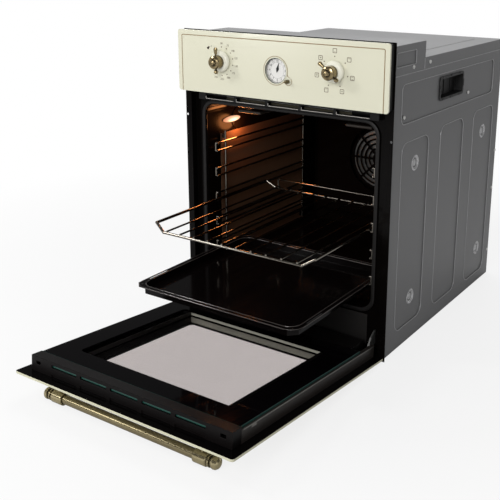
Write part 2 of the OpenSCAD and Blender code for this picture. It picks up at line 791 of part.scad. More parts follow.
// Bushes that carry the ladders on the cavity's sides
module ladder_nuts() {
    nut_x = upright_x + upright_r + air;
    nut_r = 6;
    color("silver") at_front() for (s = [-1, 1]) for (y = upright_y)
        for (z = [ladder_z - 12, ladder_top + 10])
            rod_x([s > 0 ? nut_x : -cavity_w / 2, y, z], cavity_w / 2 - nut_x, nut_r);
}

module thermostat_bulb() {
    color("silver") at_front()
        rod_y([cavity_w / 2 - bulb_in, rear_y - bulb_len, cav_top - bulb_down], bulb_len, bulb_r);
}

// Cooling air

module air_duct() {
    z0 = duct_z;
    z1 = duct_z + duct_h;
    color("silver") at_front() difference() {
        block(-duct_w / 2, duct_w / 2, floor_y, blower_y + blower_r + 10, z0, z1);
        block(-duct_w / 2 + 1, duct_w / 2 - 1, floor_y - 1, blower_y + blower_r + 9, z0 + 1, z1 - 1);
        rod_z([0, blower_y, z1 - 2], 4, blower_r - 8);
    }
}

module cooling_fan_housing() {
    z0 = duct_z + duct_h;
    color("silver") at_front() difference() {
        rod_z([0, blower_y, z0], blower_h, blower_r);
        rod_z([0, blower_y, z0 - 1], blower_h, blower_r - 1);
        rod_z([0, blower_y, z0], blower_h + 1, 24);
    }
}

module cooling_fan_rotor() {
    z0 = duct_z + duct_h + 3;
    blades = 18;
    color("gray") at_front() translate([0, blower_y, z0]) difference() {
        union() {
            cylinder(h = 1.5, r = 44);
            cylinder(h = 14, r = 8);
            for (k = [0 : blades - 1])
                rotate([0, 0, k * 360 / blades]) translate([34, -0.6, 1]) cube([9, 1.2, 18.5]);
        }
        translate([0, 0, 3]) cylinder(h = 14, r = 3 + run_fit);
    }
}

module cooling_fan_motor() {
    z0 = duct_z + duct_h;
    top = case_h - 2 * sheet - 4;
    color("silver") at_front() {
        rod_z([0, blower_y, z0 + 8], top - z0 - 8, 3);
        rod_z([0, blower_y, z0 + blower_h + 3], top - z0 - blower_h - 3, 20);
        for (a = [45 : 90 : 315])
            translate([0, blower_y, z0 + blower_h]) rotate([0, 0, a]) translate([14, -3, 0]) cube([26, 6, 4]);
    }
}

// Shelf and tray

module wire_shelf() {
    grid_z = shelf_z - shelf_drop;
    y1 = shelf_y + shelf_d;
    bar_x = rail_x - 22;
    stop_h = 20;
    pitch = 2 * (bar_x - 9) / (rod_n - 1);
    color("silver") at_front() {
        for (s = [-1, 1]) tube([[s * bar_x, shelf_y, grid_z], [s * rail_x, shelf_y + 6, shelf_z],
            [s * rail_x, y1 - 6, shelf_z], [s * bar_x, y1, grid_z]], rail_r);
        for (y = [shelf_y, y1]) rod_x([-bar_x, y, grid_z], 2 * bar_x, rail_r - 0.2);
        tube([[-bar_x + 6, y1, grid_z], [-bar_x + 6, y1, grid_z + stop_h], [bar_x - 6, y1, grid_z + stop_h],
            [bar_x - 6, y1, grid_z]], rod_r);
        for (i = [0 : rod_n - 1])
            rod_y([-bar_x + 9 + i * pitch, shelf_y - 1.5, grid_z + rail_r + rod_r - 0.6], shelf_d + 3, rod_r);
    }
}

module baking_tray() {
    y1 = tray_y + tray_d;
    cut = 14;
    z1 = tray_z + tray_t;
    well_x = tray_x - rim_w;
    slope = 5;
    module outline(dx, dy) {
        x = tray_x - dx;
        polygon([[-x + cut, tray_y + dy], [x - cut, tray_y + dy], [x, tray_y + dy + cut], [x, y1 - dy - cut],
            [x - cut, y1 - dy], [-x + cut, y1 - dy], [-x, y1 - dy - cut], [-x, tray_y + dy + cut]]);
    }
    color("#141210") at_front() difference() {
        union() {
            translate([0, 0, tray_z]) linear_extrude(tray_t) outline(0, 0);
            translate([0, 0, tray_z - tray_well]) linear_extrude(tray_well) outline(rim_w - 1, rim_w - 1);
        }
        translate([0, 0, tray_z - tray_well + tray_t]) linear_extrude(tray_well + 2) outline(rim_w, rim_w);
        for (s = [-1, 1]) for (y = [tray_y + 40, y1 - 80])
            block(s * (tray_x - 4) - 1.5, s * (tray_x - 4) + 1.5, y, y + 50, tray_z - 1, z1 + 1);
    }
}

// Carrying grips and inlet

// Outline of a grip's opening, larger by more on every side
module grip_outline(more, r) {
    polygon(round_rect(grip_y - grip_w / 2 - more, grip_z - grip_h / 2 - more,
        grip_w + 2 * more, grip_h + 2 * more, r));
}
module grip_cup() {
    wall = 2;
    lip = 3;
    difference() {
        union() {
            wall_x(hw - grip_in, hw) grip_outline(-air, 5);
            wall_x(hw, hw + 1) grip_outline(lip, 7);
        }
        wall_x(hw - grip_in + 1.5, hw + 2) grip_outline(-wall, 4);
    }
}
module carry_handle_right() { color("black") at_front() grip_cup(); }
module carry_handle_left() { color("black") at_front() mirror([1, 0, 0]) grip_cup(); }

module terminal_block() {
    color("black") at_front() difference() {
        wall_y(case_d, case_d + term_d)
            polygon(round_rect(term_x - term_w / 2, term_z, term_w, term_h, 4));
        rod_z([term_x, case_d + term_d / 2, term_z - 6], 30, cable_r);
    }
}

// Hinges

module hinge_claws() {
    color("silver") at_front() for (s = [-1, 1]) difference() {
        wall_x(s * hinge_x - claw_t / 2, s * hinge_x + claw_t / 2) {
            translate([hinge_y, hinge_z]) circle(r = boss_r);
            polygon([[hinge_y - 4, hinge_z + 2], [hinge_y + 2, hinge_z - 4], [seat_d - 1, claw_z0 + 0.5],
                [seat_d - 1, claw_z0], [floor_y, claw_z0], [floor_y, hinge_z + 5], [floor_y + 12, hinge_z + 5],
                [floor_y + 40, hinge_z + 19], [floor_y + 40, hinge_z + 31], [floor_y, hinge_z + 35],
                [seat_d - 1, hinge_z + 35], [hinge_y + 12, hinge_z + 27]]);
        }
        rod_x([s * hinge_x - claw_t, hinge_y, hinge_z], 2 * claw_t, pin_r + run_fit);
    }
}

module hinge_pins() {
    len = claw_t + 2 * claw_gap + 2 * cheek_t;
    color("silver") door_open() for (s = [-1, 1])
        rod_x([s * hinge_x - len / 2, hinge_y, hinge_z], len, pin_r);
}

module hinge_channels() {
    w = claw_t + 2 * claw_gap;
    y0 = door_y + glass_t;
    top = core_z0 + 168;
    color("silver") door_open() for (s = [-1, 1]) difference() {
        union() {
            for (c = [-1, 1]) {
                x = s * hinge_x + c * (w / 2 + cheek_t / 2);
                wall_x(x - cheek_t / 2, x + cheek_t / 2) {
                    polygon([[y0, core_z0], [y0 + 12, core_z0], [y0 + 12, core_z0 + 24], [y0 + 18, core_z0 + 48],
                        [y0 + 18, top], [y0, top]]);
                }
            }
            block(s * hinge_x - w / 2, s * hinge_x + w / 2, y0, y0 + cheek_t, core_z0 + rail_h, top);
        }
        rod_x([s * hinge_x - w, hinge_y, hinge_z], 2 * w, pin_r + 0.01);
    }
}

// Door

module door_outer_glass() {
    color("beige") door_open() difference() {
        wall_y(door_y, door_y + glass_t) centred(panel_w, door_z0, door_z1, 5);
        for (s = [-1, 1]) rod_y([s * post_gap / 2, door_y - 1, handle_z], glass_t + 2, 2.5);
    }
}
module door_middle_glass() {
    color("lightcyan") door_open() wall_y(middle_y, middle_y + glass_t)
        centred(2 * (rail_in - air), core_z0 + rail_t, core_z1 - strip_h + 4);
}
module door_inner_glass() {
    color("black") door_open() wall_y(inner_y - glass_t, inner_y)
        centred(core_w - 6, core_z0 + rail_h, core_z1 - strip_h);
}

// C-shaped steel profile at the door's side
module door_profile(s) {
    x = core_w / 2;
    y0 = door_y + glass_t;
    y1 = inner_y - glass_t;
    w = 7;
    len = core_z1 - strip_h - core_z0;
    color("silver") door_open() translate([0, 0, core_z0]) linear_extrude(len) scale([s, 1])
        polygon([[x, y0], [x - w, y0], [x - w, y0 + profile_t], [x - profile_t, y0 + profile_t],
            [x - profile_t, y1 - profile_t], [x - w, y1 - profile_t], [x - w, y1], [x, y1]]);
}
module door_profile_left() { door_profile(-1); }
module door_profile_right() { door_profile(1); }

module door_top_strip() {
    y0 = door_y + glass_t;
    pitch = (core_w - 89) / 5;
    slot_w = pitch - 9;
    hole_x = core_w / 2 - 17;
    z0 = core_z1 - strip_h;
    color("black") door_open() difference() {
        block(-core_w / 2, core_w / 2, y0, inner_y, z0, core_z1);
        block(-core_w / 2 + 2, core_w / 2 - 2, y0 + 2, inner_y - 2, z0 - 1, core_z1 - 3);
        for (i = [-2 : 2]) {
            block(i * pitch - slot_w / 2, i * pitch + slot_w / 2, y0 + 16, y0 + 21, core_z1 - 4, core_z1 + 1);
            block(i * pitch - slot_w / 2, i * pitch + slot_w / 2, y0 - 1, y0 + 5, core_z1 - 1.5, core_z1 + 1);
        }
        for (s = [-1, 1]) block(s * hole_x - 5, s * hole_x + 5, y0 + 13, y0 + 19, core_z1 - 4, core_z1 + 1);
    }
}

module door_bottom_rail() {
    y0 = door_y + glass_t;
    rib = 2.5;
    color("black") door_open() {
        difference() {
            block(-rail_in - rail_t, rail_in + rail_t, y0, inner_y, core_z0, core_z0 + rail_h);
            block(-rail_in, rail_in, y0 + rail_t, inner_y - rail_t, core_z0 + rail_t, core_z0 + rail_h + 1);
        }
        // Channel for the middle glass
        for (y = [middle_y - rib, middle_y + glass_t])
            block(-rail_in, rail_in, y, y + rib, core_z0 + rail_t, core_z0 + rail_t + 8);
    }
}

// Handle

module handle_bar() {
    color("darkkhaki") door_open()
        rod_x([-post_gap / 2 + 13, door_y - bar_out, handle_z], post_gap - 26, bar_r);
}

// Turned end piece: a sleeve that carries the post, two rings and a ball
module handle_end() {
    r = bar_r + 3.2;
    translate([post_gap / 2, door_y - bar_out, handle_z]) {
        rotate([0, 90, 0]) rotate_extrude() polygon([[0, -13], [r - 1, -13], [r, -12], [r, 10], [r - 1, 11],
            [r - 3, 12.5], [r - 3, 14], [r - 1, 15], [r - 1, 17], [r - 3.5, 18], [r - 3.5, 21], [r - 1, 22],
            [r - 0.6, 24], [r - 1, 27], [r - 3, 30], [r - 6, 32], [0, 33]]);
        rod_y([0, 0, 0], bar_out, 3.8);
    }
}
module handle_ends() {
    color("darkkhaki") door_open() { handle_end(); mirror([1, 0, 0]) handle_end(); }
}

base_plate();
side_panel_left();
side_panel_right();
back_panel();
head_cover();
rear_cover();
front_frame();
vent_strip();
control_panel();
panel_inlay();
panel_backing();
cavity();
fan_baffle();
convection_motor();
convection_fan();
ring_element();
grill_element();
bottom_element();
insulation();
oven_lamp();
lamp_lens();
gasket();
ladder_left();
ladder_right();
ladder_nuts();
air_duct();
cooling_fan_housing();
cooling_fan_motor();
cooling_fan_rotor();
thermostat();
thermostat_bulb();
selector_switch();
clock_case();
clock_dial();
clock_glass();
hour_hand();
minute_hand();
clock_setting_knob();
indicator_lens();
thermostat_knob();
thermostat_lever();
selector_knob();
selector_lever();
carry_handle_left();
carry_handle_right();
terminal_block();
hinge_claws();
wire_shelf();
baking_tray();
door_outer_glass();
door_middle_glass();
door_inner_glass();
door_profile_left();
door_profile_right();
door_top_strip();
door_bottom_rail();
hinge_channels();
hinge_pins();
handle_bar();
handle_ends();
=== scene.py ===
from math import atan2, cos, degrees, hypot, pi, radians, sin

import bpy
from mathutils import Matrix, Vector


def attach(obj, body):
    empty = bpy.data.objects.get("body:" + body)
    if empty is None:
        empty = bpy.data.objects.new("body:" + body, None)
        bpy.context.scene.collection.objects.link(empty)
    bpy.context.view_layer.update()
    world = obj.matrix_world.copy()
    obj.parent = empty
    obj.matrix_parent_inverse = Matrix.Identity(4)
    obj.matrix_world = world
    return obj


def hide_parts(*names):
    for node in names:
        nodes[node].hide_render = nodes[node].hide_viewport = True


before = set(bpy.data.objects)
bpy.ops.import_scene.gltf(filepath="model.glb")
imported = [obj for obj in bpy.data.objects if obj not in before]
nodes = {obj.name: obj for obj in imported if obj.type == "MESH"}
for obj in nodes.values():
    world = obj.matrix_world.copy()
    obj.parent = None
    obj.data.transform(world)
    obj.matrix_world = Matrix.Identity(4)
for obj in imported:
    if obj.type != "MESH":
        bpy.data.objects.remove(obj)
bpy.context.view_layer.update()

# Camera
# The photograph looks at the oven from its front right, a little from above, with a normal lens. It is a crop of a
# larger picture, which the small shift stands for.
camera = bpy.data.cameras.new("camera")
camera.sensor_width = 36
camera.lens = 59.97
camera.shift_x, camera.shift_y = -0.07, -0.14
camera.clip_start, camera.clip_end = 0.05, 30
eye = bpy.data.objects.new("camera", camera)
bpy.context.scene.collection.objects.link(eye)
eye_place = (0.8467, -1.5347, 0.7324)
yaw, pitch, roll = 0.5858, -0.2686, 0.0047
forward = Vector((-sin(yaw) * cos(pitch), cos(yaw) * cos(pitch), sin(pitch)))
right = Vector((cos(yaw), sin(yaw), 0))
up = right.cross(forward)
side = cos(roll) * right + sin(roll) * up
top = cos(roll) * up - sin(roll) * right
eye.matrix_world = Matrix.Translation(eye_place) @ Matrix((side, top, -forward)).transposed().to_4x4()
bpy.context.scene.camera = eye


# Studio
# A pale floor and a white horizon under soft lamps. The large front lamp lights the cream panel, the one overhead
# lights the top sheet, and two small ones draw the lines on the wires and the handle. The right side stays dim.
def linear(hexa):
    """An sRGB colour such as #aabbcc as the linear one that sockets take."""
    parts = [int(hexa[i:i + 2], 16) / 255 for i in (1, 3, 5)]
    return tuple(c / 12.92 if c <= 0.04045 else ((c + 0.055) / 1.055) ** 2.4 for c in parts) + (1,)


def add(tree, kind, settings=None, links=None):
    """Adds a node with its settings and the sockets that feed it."""
    n = tree.nodes.new("ShaderNode" + kind)
    for key, value in (settings or {}).items():
        if isinstance(key, int) or key in n.inputs:
            n.inputs[key].default_value = value
        else:
            setattr(n, key, value)
    for key, socket in (links or {}).items():
        tree.links.new(socket, n.inputs[key])
    return n


def lamp(name, place, target, size, watts):
    """A square lamp of white light that looks at the target."""
    data = bpy.data.lights.new(name, "AREA")
    data.shape, data.size, data.energy = "SQUARE", size, watts
    obj = bpy.data.objects.new(name, data)
    bpy.context.scene.collection.objects.link(obj)
    obj.location = place
    obj.rotation_euler = (Vector(target) - Vector(place)).to_track_quat("-Z", "Y").to_euler()


lamp("front_lamp", place=(0.6, -3.0, 1.6), target=(0, -0.2, 0.4), size=1.3, watts=56)
lamp("left_lamp", place=(-1.12, -1.14, 1.26), target=(0, -0.7, 0.1), size=0.3, watts=9)
lamp("handle_lamp", place=(-0.77, -1.44, 0.55), target=(0, -0.70, 0.01), size=0.24, watts=1.4)
lamp("top_lamp", place=(-0.4, 1.0, 2.4), target=(0, 0, 0.4), size=1.6, watts=40)

world = bpy.data.worlds.new("studio")
bpy.context.scene.world = world
world.use_nodes = True
tree = world.node_tree
tree.nodes.clear()
path = add(tree, "LightPath")
# white at the horizon and dim overhead, as metal and glass show it
where = add(tree, "TexCoord")
height = add(tree, "SeparateXYZ", {}, {0: where.outputs["Generated"]})
band = add(tree, "MapRange", {"From Min": 0.06, "From Max": 0.24, "To Min": 1.0, "To Max": 0.1},
           {"Value": height.outputs[2]})
glossy = add(tree, "Math", {"operation": "MULTIPLY"}, {0: path.outputs["Is Glossy Ray"], 1: band.outputs[0]})
seen = add(tree, "Math", {"operation": "MAXIMUM"},
           {0: path.outputs["Is Camera Ray"], 1: path.outputs["Is Transmission Ray"]})
total = add(tree, "Math", {"operation": "MAXIMUM"}, {0: seen.outputs[0], 1: glossy.outputs[0]})
# the share that lights the oven
soft = add(tree, "Math", {"operation": "MULTIPLY", 1: 0.34}, {0: path.outputs["Is Diffuse Ray"]})
level = add(tree, "Math", {"operation": "MAXIMUM"}, {0: total.outputs[0], 1: soft.outputs[0]})
sky = add(tree, "Background", {"Color": (1, 1, 1, 1)}, {"Strength": level.outputs[0]})
tree.links.new(sky.outputs[0], add(tree, "OutputWorld").inputs[0])

bpy.ops.mesh.primitive_plane_add(size=14, location=(0, 0, -0.0005))
floor = bpy.context.object
floor.name = "studio_floor"
paper = bpy.data.materials.new("white paper floor")
paper.use_nodes = True
tree = paper.node_tree
tree.nodes.clear()
path = add(tree, "LightPath")
matt = add(tree, "BsdfDiffuse", {"Color": (0.6, 0.6, 0.6, 1)})
glow = add(tree, "Emission", {"Color": (1, 1, 1, 1), "Strength": 1.0})
seen = add(tree, "Math", {"operation": "ADD", "use_clamp": True},
           {0: path.outputs["Is Camera Ray"], 1: path.outputs["Is Transmission Ray"]})
# the shadow lies round the oven, and further out the floor is the white of the background
where = add(tree, "TexCoord")
away = add(tree, "VectorMath", {"operation": "LENGTH"}, {0: where.outputs["Object"]})
share = add(tree, "MapRange", {"From Min": 0.6, "From Max": 1.3, "To Min": 0.8, "To Max": 1.0},
            {"Value": away.outputs["Value"]})
part = add(tree, "Math", {"operation": "MULTIPLY"}, {0: seen.outputs[0], 1: share.outputs[0]})
both = add(tree, "MixShader", {}, {0: part.outputs[0], 1: matt.outputs[0], 2: glow.outputs[0]})
tree.links.new(both.outputs[0], add(tree, "OutputMaterial").inputs[0])
floor.data.materials.append(paper)


# Casing
# The box round the oven is folded from galvanised steel sheet with pressed fields, under a thin grey coat through
# which zinc's faint clouds show. The sheets are joined with pan-head screws, and moulded grips snap into the sides.
half_width = 0.223


def row(y):
    """Depth behind the casing's front edge, in mm, as depth in the frame, in metres."""
    return (y - 270) / 1000


def new_material(name):
    m = bpy.data.materials.new(name)
    m.use_nodes = True
    m.node_tree.nodes.clear()
    return m, m.node_tree


def finish(tree, shader):
    tree.links.new(shader.outputs[0], add(tree, "OutputMaterial").inputs["Surface"])


def surface(name, colour, other, metallic, roughness, scale, bump=0.0, bump_scale=None, rough_by=0.08, **more):
    """A principled surface whose colour wanders between two tones, with the slight unevenness of its process."""
    m, tree = new_material(name)
    where = add(tree, "TexCoord").outputs["Object"]
    clouds = add(tree, "TexNoise", {"Scale": scale, "Detail": 4.0, "Roughness": 0.6}, {"Vector": where})
    tone = add(tree, "MixRGB", {"Color1": linear(colour), "Color2": linear(other)}, {"Fac": clouds.outputs["Fac"]})
    rough = add(tree, "MapRange", {"To Min": roughness - rough_by, "To Max": roughness + rough_by},
                {"Value": clouds.outputs["Fac"]})
    shader = add(tree, "BsdfPrincipled", {"Metallic": metallic},
                 {"Base Color": tone.outputs[0], "Roughness": rough.outputs[0]})
    for key, value in more.items():
        shader.inputs[key.replace("_", " ")].default_value = value
    if bump:
        grain = add(tree, "TexNoise", {"Scale": bump_scale, "Detail": 3.0}, {"Vector": where})
        lift = add(tree, "Bump", {"Strength": bump, "Distance": 0.0004}, {"Height": grain.outputs["Fac"]})
        tree.links.new(lift.outputs[0], shader.inputs["Normal"])
    finish(tree, shader)
    return m


def soften(obj, width, segments=2, angle=30):
    """Rounds the edges at which the surface turns by more than the angle, in degrees."""
    edge = obj.modifiers.new("bevel", "BEVEL")
    edge.width, edge.segments, edge.limit_method, edge.angle_limit = width, segments, "ANGLE", radians(angle)


def dress(names, material, bevel=0.0):
    """Gives CAD nodes their material, and their sheet edges a small radius."""
    for name in names:
        node = nodes[name]
        node.data.materials.clear()
        node.data.materials.append(material)
        if bevel:
            node.modifiers.new("weld", "WELD").merge_threshold = 0.00001
            soften(node, bevel, angle=40)


def pick(obj):
    """Makes the object the active and only selected one."""
    bpy.ops.object.select_all(action="DESELECT")
    obj.select_set(True)
    bpy.context.view_layer.objects.active = obj


def settle(obj, name, body, material):
    """Applies the object's place to its mesh and sets what it rides on and takes its finish from."""
    pick(obj)
    bpy.ops.object.transform_apply(location=True, rotation=True, scale=True)
    obj.name = name
    obj.data.materials.clear()
    obj.data.materials.append(material)
    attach(obj, body)
    return obj


def joined(objects):
    """Joins the objects into the first."""
    bpy.ops.object.select_all(action="DESELECT")
    for o in objects:
        o.select_set(True)
    bpy.context.view_layer.objects.active = objects[0]
    bpy.ops.object.join()
    return objects[0]


def block(place, size):
    """A plain block of sheet, print or rib, in metres."""
    bpy.ops.object.select_all(action="DESELECT")
    bpy.ops.mesh.primitive_cube_add(size=1, location=place)
    obj = bpy.context.object
    obj.scale = size
    bpy.ops.object.transform_apply(location=False, rotation=False, scale=True)
    return obj


def edit_top(obj):
    """Enters edit mode with the faces selected that look up."""
    bpy.ops.object.mode_set(mode="EDIT")
    bpy.ops.mesh.select_all(action="DESELECT")
    bpy.ops.object.mode_set(mode="OBJECT")
    for f in obj.data.polygons:
        f.select = f.normal.z > 0.9
    bpy.ops.object.mode_set(mode="EDIT")


def facing(place, axis):
    """Place of an object whose own Z points along the axis."""
    return Matrix.Translation(place) @ Vector(axis).to_track_quat("Z", "Y").to_matrix().to_4x4()


# The casing's grey coat is set darker as painted shade, for the dim sides.
shaded_zinc_coat = surface("grey coated galvanised sheet, darkened as painted shade", "#676768", "#717172", metallic=0.25, roughness=0.42, scale=14,
                    bump=0.12, bump_scale=160)
dress(["base_plate", "side_panel_left", "side_panel_right", "back_panel", "rear_cover"], shaded_zinc_coat, bevel=0.0009)
# The top takes a lighter copy of the same grey coat, as painted light from above.
lit_top_coat = surface("grey coated sheet of the top, lightened as painted light", "#8a8a8b", "#949495", metallic=0.25, roughness=0.4,
                   scale=14, bump=0.12, bump_scale=160)
dress(["head_cover"], lit_top_coat, bevel=0.0009)


def screw(place, axis, size):
    """A pan head with a recess in its crown. The size is its diameter in metres."""
    bpy.ops.object.select_all(action="DESELECT")
    bpy.ops.mesh.primitive_cylinder_add(vertices=24, radius=size / 2, depth=0.0016)
    head = bpy.context.object
    edit_top(head)
    bpy.ops.mesh.inset(thickness=size / 9, depth=0.0005)
    bpy.ops.mesh.inset(thickness=size / 6, depth=0.0002)
    bpy.ops.mesh.inset(thickness=size / 10, depth=-0.0008)
    bpy.ops.object.mode_set(mode="OBJECT")
    head.matrix_world = facing(place, axis)
    return head


# screws of each side as depth and height in mm
screw_places = ((84, 536), (154, 538), (351, 455), (53, 450), (536, 298), (532, 211), (532, 60), (6, 500), (6, 120))
heads = [screw((sx * (half_width + 0.0006), row(y), z / 1000), (sx, 0, 0), size=0.007)
         for sx in (1, -1) for y, z in screw_places]
zinc_screw = surface("zinc plated steel screws", "#d3d3d0", "#bfbfbc", metallic=0.35, roughness=0.3, scale=60)
settle(joined(heads), "side_screws", "oven", zinc_screw)


def bead(points, radius, resolution=2, closed=False):
    """A round bead along points, all in metres."""
    curve = bpy.data.curves.new("bead", "CURVE")
    curve.dimensions = "3D"
    line = curve.splines.new("POLY")
    line.points.add(len(points) - 1)
    for p, q in zip(line.points, points):
        p.co = (*q, 1)
    line.use_cyclic_u = closed
    curve.bevel_depth, curve.bevel_resolution, curve.use_fill_caps = radius, resolution, True
    obj = bpy.data.objects.new("bead", curve)
    bpy.context.scene.collection.objects.link(obj)
    pick(obj)
    bpy.ops.object.convert(target="MESH")
    return bpy.context.object


def corner_arc(centre, radius, start, steps):
    """Points of a quarter circle from the start angle on, in degrees."""
    angles = [radians(start + 90 * i / steps) for i in range(steps + 1)]
    return [(centre[0] + radius * cos(a), centre[1] + radius * sin(a)) for a in angles]


def rounded(y, z, length, rise, radius):
    """Corner points of a pressed field on the side, in mm."""
    points = []
    for cy, cz, start in ((y + length - radius, z + radius, -90), (y + length - radius, z + rise - radius, 0),
                          (y + radius, z + rise - radius, 90), (y + radius, z + radius, 180)):
        points += corner_arc((cy, cz), radius, start, 6)
    return points + points[:1]


# The side sheet has a folded crease along its top and an upright seam where the head box's sheet laps over it. Its
# pressed fields, as depth, height, length, rise and radius in mm, bulge a little where the sheet bends.
fields = ((43, 437, 449, 72, 12), (50, 36, 116, 366, 20), (221, 30, 115, 376, 20), (392, 24, 114, 384, 20),
          (16, 541, 78, 25, 3))
crease_z = 0.526
beads = []
for sx in (1, -1):
    x = sx * half_width
    beads.append(bead([(x, row(2), crease_z), (x, row(538), crease_z)], 0.0009))
    beads.append(bead([(x, row(131), crease_z), (x, row(131), 0.547)], 0.0007))
    for field in fields:
        beads.append(bead([(x, row(y), z / 1000) for y, z in rounded(*field)], 0.0009))
# The beads take a lighter copy of the grey coat, a painted highlight along the crease, the seam and the fields'
# edges.
bend_highlight_coat = surface("grey coat painted lighter on the bends as highlight", "#a5a5a6", "#8f8f90", metallic=0.35, roughness=0.34,
                     scale=60, bump=0.1, bump_scale=200)
settle(joined(beads), "side_creases", "oven", bend_highlight_coat)
bpy.ops.object.shade_smooth_by_angle(angle=radians(60))

# Round dimples, 30 mm across, are pressed into the side sheet. Their section is a row of insets, as thickness and
# depth in metres.
dimple_section = ((0.0010, 0.0010), (0.0010, 0.0003), (0.0008, -0.0003), (0.0016, -0.0014), (0.0014, -0.0012),
                  (0.0030, 0.0002), (0.0024, 0.0008))
cups = []
for sx in (1, -1):
    for y, z in ((112, 356), (117, 88), (452, 357), (464, 84)):
        bpy.ops.object.select_all(action="DESELECT")
        bpy.ops.mesh.primitive_circle_add(vertices=40, radius=0.0152, fill_type="NGON")
        cup = bpy.context.object
        bpy.ops.object.mode_set(mode="EDIT")
        bpy.ops.mesh.select_all(action="SELECT")
        for thick, deep in dimple_section:
            bpy.ops.mesh.inset(thickness=thick, depth=deep)
        bpy.ops.object.mode_set(mode="OBJECT")
        cup.matrix_world = facing((sx * (half_width - 0.0016), row(y), z / 1000), (sx, 0, 0))
        cups.append(cup)
# The dimples take a much lighter copy of the grey coat, a painted highlight in the cups.
dimple_highlight_coat = surface("grey coat painted lighter in the dimples as highlight", "#c0c0c1", "#acacad", metallic=0.5, roughness=0.28,
                   scale=90, bump=0.1, bump_scale=200)
settle(joined(cups), "side_dimples", "oven", dimple_highlight_coat)
bpy.ops.object.shade_smooth_by_angle(angle=radians(50))

# The rear part of the top is one plain sheet with a pressed stiffening field
lid = block((0, row(336), 0.5475), (0.4444, 0.408, 0.001))
edit_top(lid)
bpy.ops.mesh.inset(thickness=0.045)
bpy.ops.mesh.inset(thickness=0.0025, depth=0.0012)
bpy.ops.object.mode_set(mode="OBJECT")
soften(lid, 0.0008, angle=20)
settle(lid, "top_sheet", "oven", lit_top_coat)
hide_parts("rear_cover")

moulded = surface("moulded black nylon", "#111111", "#181818", metallic=0.0, roughness=0.5, scale=90, bump=0.25,
                  bump_scale=900, Specular_IOR_Level=0.4)
dress(["carry_handle_left", "carry_handle_right", "terminal_block"], moulded, bevel=0.0006)
# Snap tabs that hold each grip in the sheet, as depth, height, length and rise in mm, and the ribs on its floor
grip_y, grip_z = 263, 480
tab_spots = [(y, z, 10, 3) for y in (222, 304) for z in (458.5, 501.5)]
tab_spots += [(grip_y, 458.5, 14, 3), (grip_y, 501.5, 14, 3), (205.5, grip_z, 3, 14), (320.5, grip_z, 3, 14)]
tabs = []
for sx in (1, -1):
    for y, z, length, rise in tab_spots:
        tabs.append(block((sx * (half_width + 0.0013), row(y), z / 1000), (0.0012, length / 1000, rise / 1000)))
    for y in (232, grip_y, 294):
        tabs.append(block((sx * 0.2062, row(y), grip_z / 1000), (0.0016, 0.0016, 0.034)))
soften(settle(joined(tabs), "grip_tabs", "oven", moulded), 0.0004)

# Front frame
# One pressed frame of black enamelled steel round the cavity's mouth. A rubber seal lies round the mouth and a
# plastic air outlet along the top, and a bare plate marks the place of the rating label that such ovens have.
black_enamel = surface("glossy black enamelled steel", "#050404", "#080605", metallic=0.0, roughness=0.12, scale=30,
                       bump=0.03, bump_scale=90, rough_by=0.03, Specular_IOR_Level=0.07)
dress(["front_frame"], black_enamel, bevel=0.0003)
heat_plastic = surface("black heat-proof plastic of the air outlet", "#070606", "#0b0a0a", metallic=0.0,
                       roughness=0.4, scale=90, bump=0.15, bump_scale=900, Specular_IOR_Level=0.2)
dress(["vent_strip", "panel_backing"], heat_plastic, bevel=0.0004)
# Painted highlights on the outlets' lips, below each of the five outlets and at its left end, as place, height and
# size in mm
outlet_pitch = 74
lips = []
for i in range(-2, 3):
    for x, z, wide, high in ((0, 451.8, 66, 0.8), (-33.4, 454.2, 0.8, 4.6)):
        lips.append(block(((i * outlet_pitch + x) / 1000, row(2.9), z / 1000), (wide / 1000, 0.0006, high / 1000)))
# Their pale colour is a painted highlight.
lip_highlight = surface("painted highlight on the outlet lips", "#cfcac3", "#bdb8b1", metallic=0.2, roughness=0.3, scale=60)
settle(joined(lips), "outlet_lip_highlights", "oven", lip_highlight)
seal = surface("silicone rubber door seal", "#131110", "#0e0c0c", metallic=0.0, roughness=0.5, scale=120, bump=0.2,
               bump_scale=500, Specular_IOR_Level=0.25)
dress(["gasket"], seal, bevel=0.0025)
plate_grey = surface("bare label plate in dull foil", "#2c2a29", "#252322", metallic=0.5, roughness=0.45, scale=50)
plate = block((0.1265, row(13.86), 0.049), (0.115, 0.0003, 0.060))
soften(settle(plate, "bare_plate", "oven", plate_grey), 0.0001, segments=1)

# Control panel
# A pressed steel plate in cream enamel with a fine brown line printed inside its edge. Temperatures are printed round
# the left knob and small oven signs round the right one.
cream_enamel = surface("cream vitreous enamel", "#cdcbb6", "#d0ceba", metallic=0.0, roughness=0.22, scale=9,
                       bump=0.02, bump_scale=40, rough_by=0.03, Coat_Weight=0.3)
dress(["control_panel"], cream_enamel, bevel=0.0012)
brown_print = surface("brown screen print", "#8a7353", "#7d6849", metallic=0.0, roughness=0.5, scale=200)
sign_print = surface("dark brown screen print", "#4d3f2e", "#57483a", metallic=0.0, roughness=0.5, scale=200)
panel_face = row(-21.05)
knob_x, knob_z = 0.123, 0.531
clock_z = 0.523
print_thick = 0.00006


def around(x, z, reach, a):
    """Place at the angle a, clockwise from the top, round a middle."""
    return x + reach * sin(a), z + reach * cos(a)


def disc(x, z, radius):
    """A printed dot on the panel."""
    bpy.ops.object.select_all(action="DESELECT")
    bpy.ops.mesh.primitive_cylinder_add(vertices=20, radius=radius, depth=0.00015, location=(x, panel_face, z),
                                        rotation=(pi / 2, 0, 0))
    return bpy.context.object


def stroke(x, z, wide, high, depth=panel_face):
    """A printed bar."""
    return block((x, depth, z), (wide, 0.00012, high))


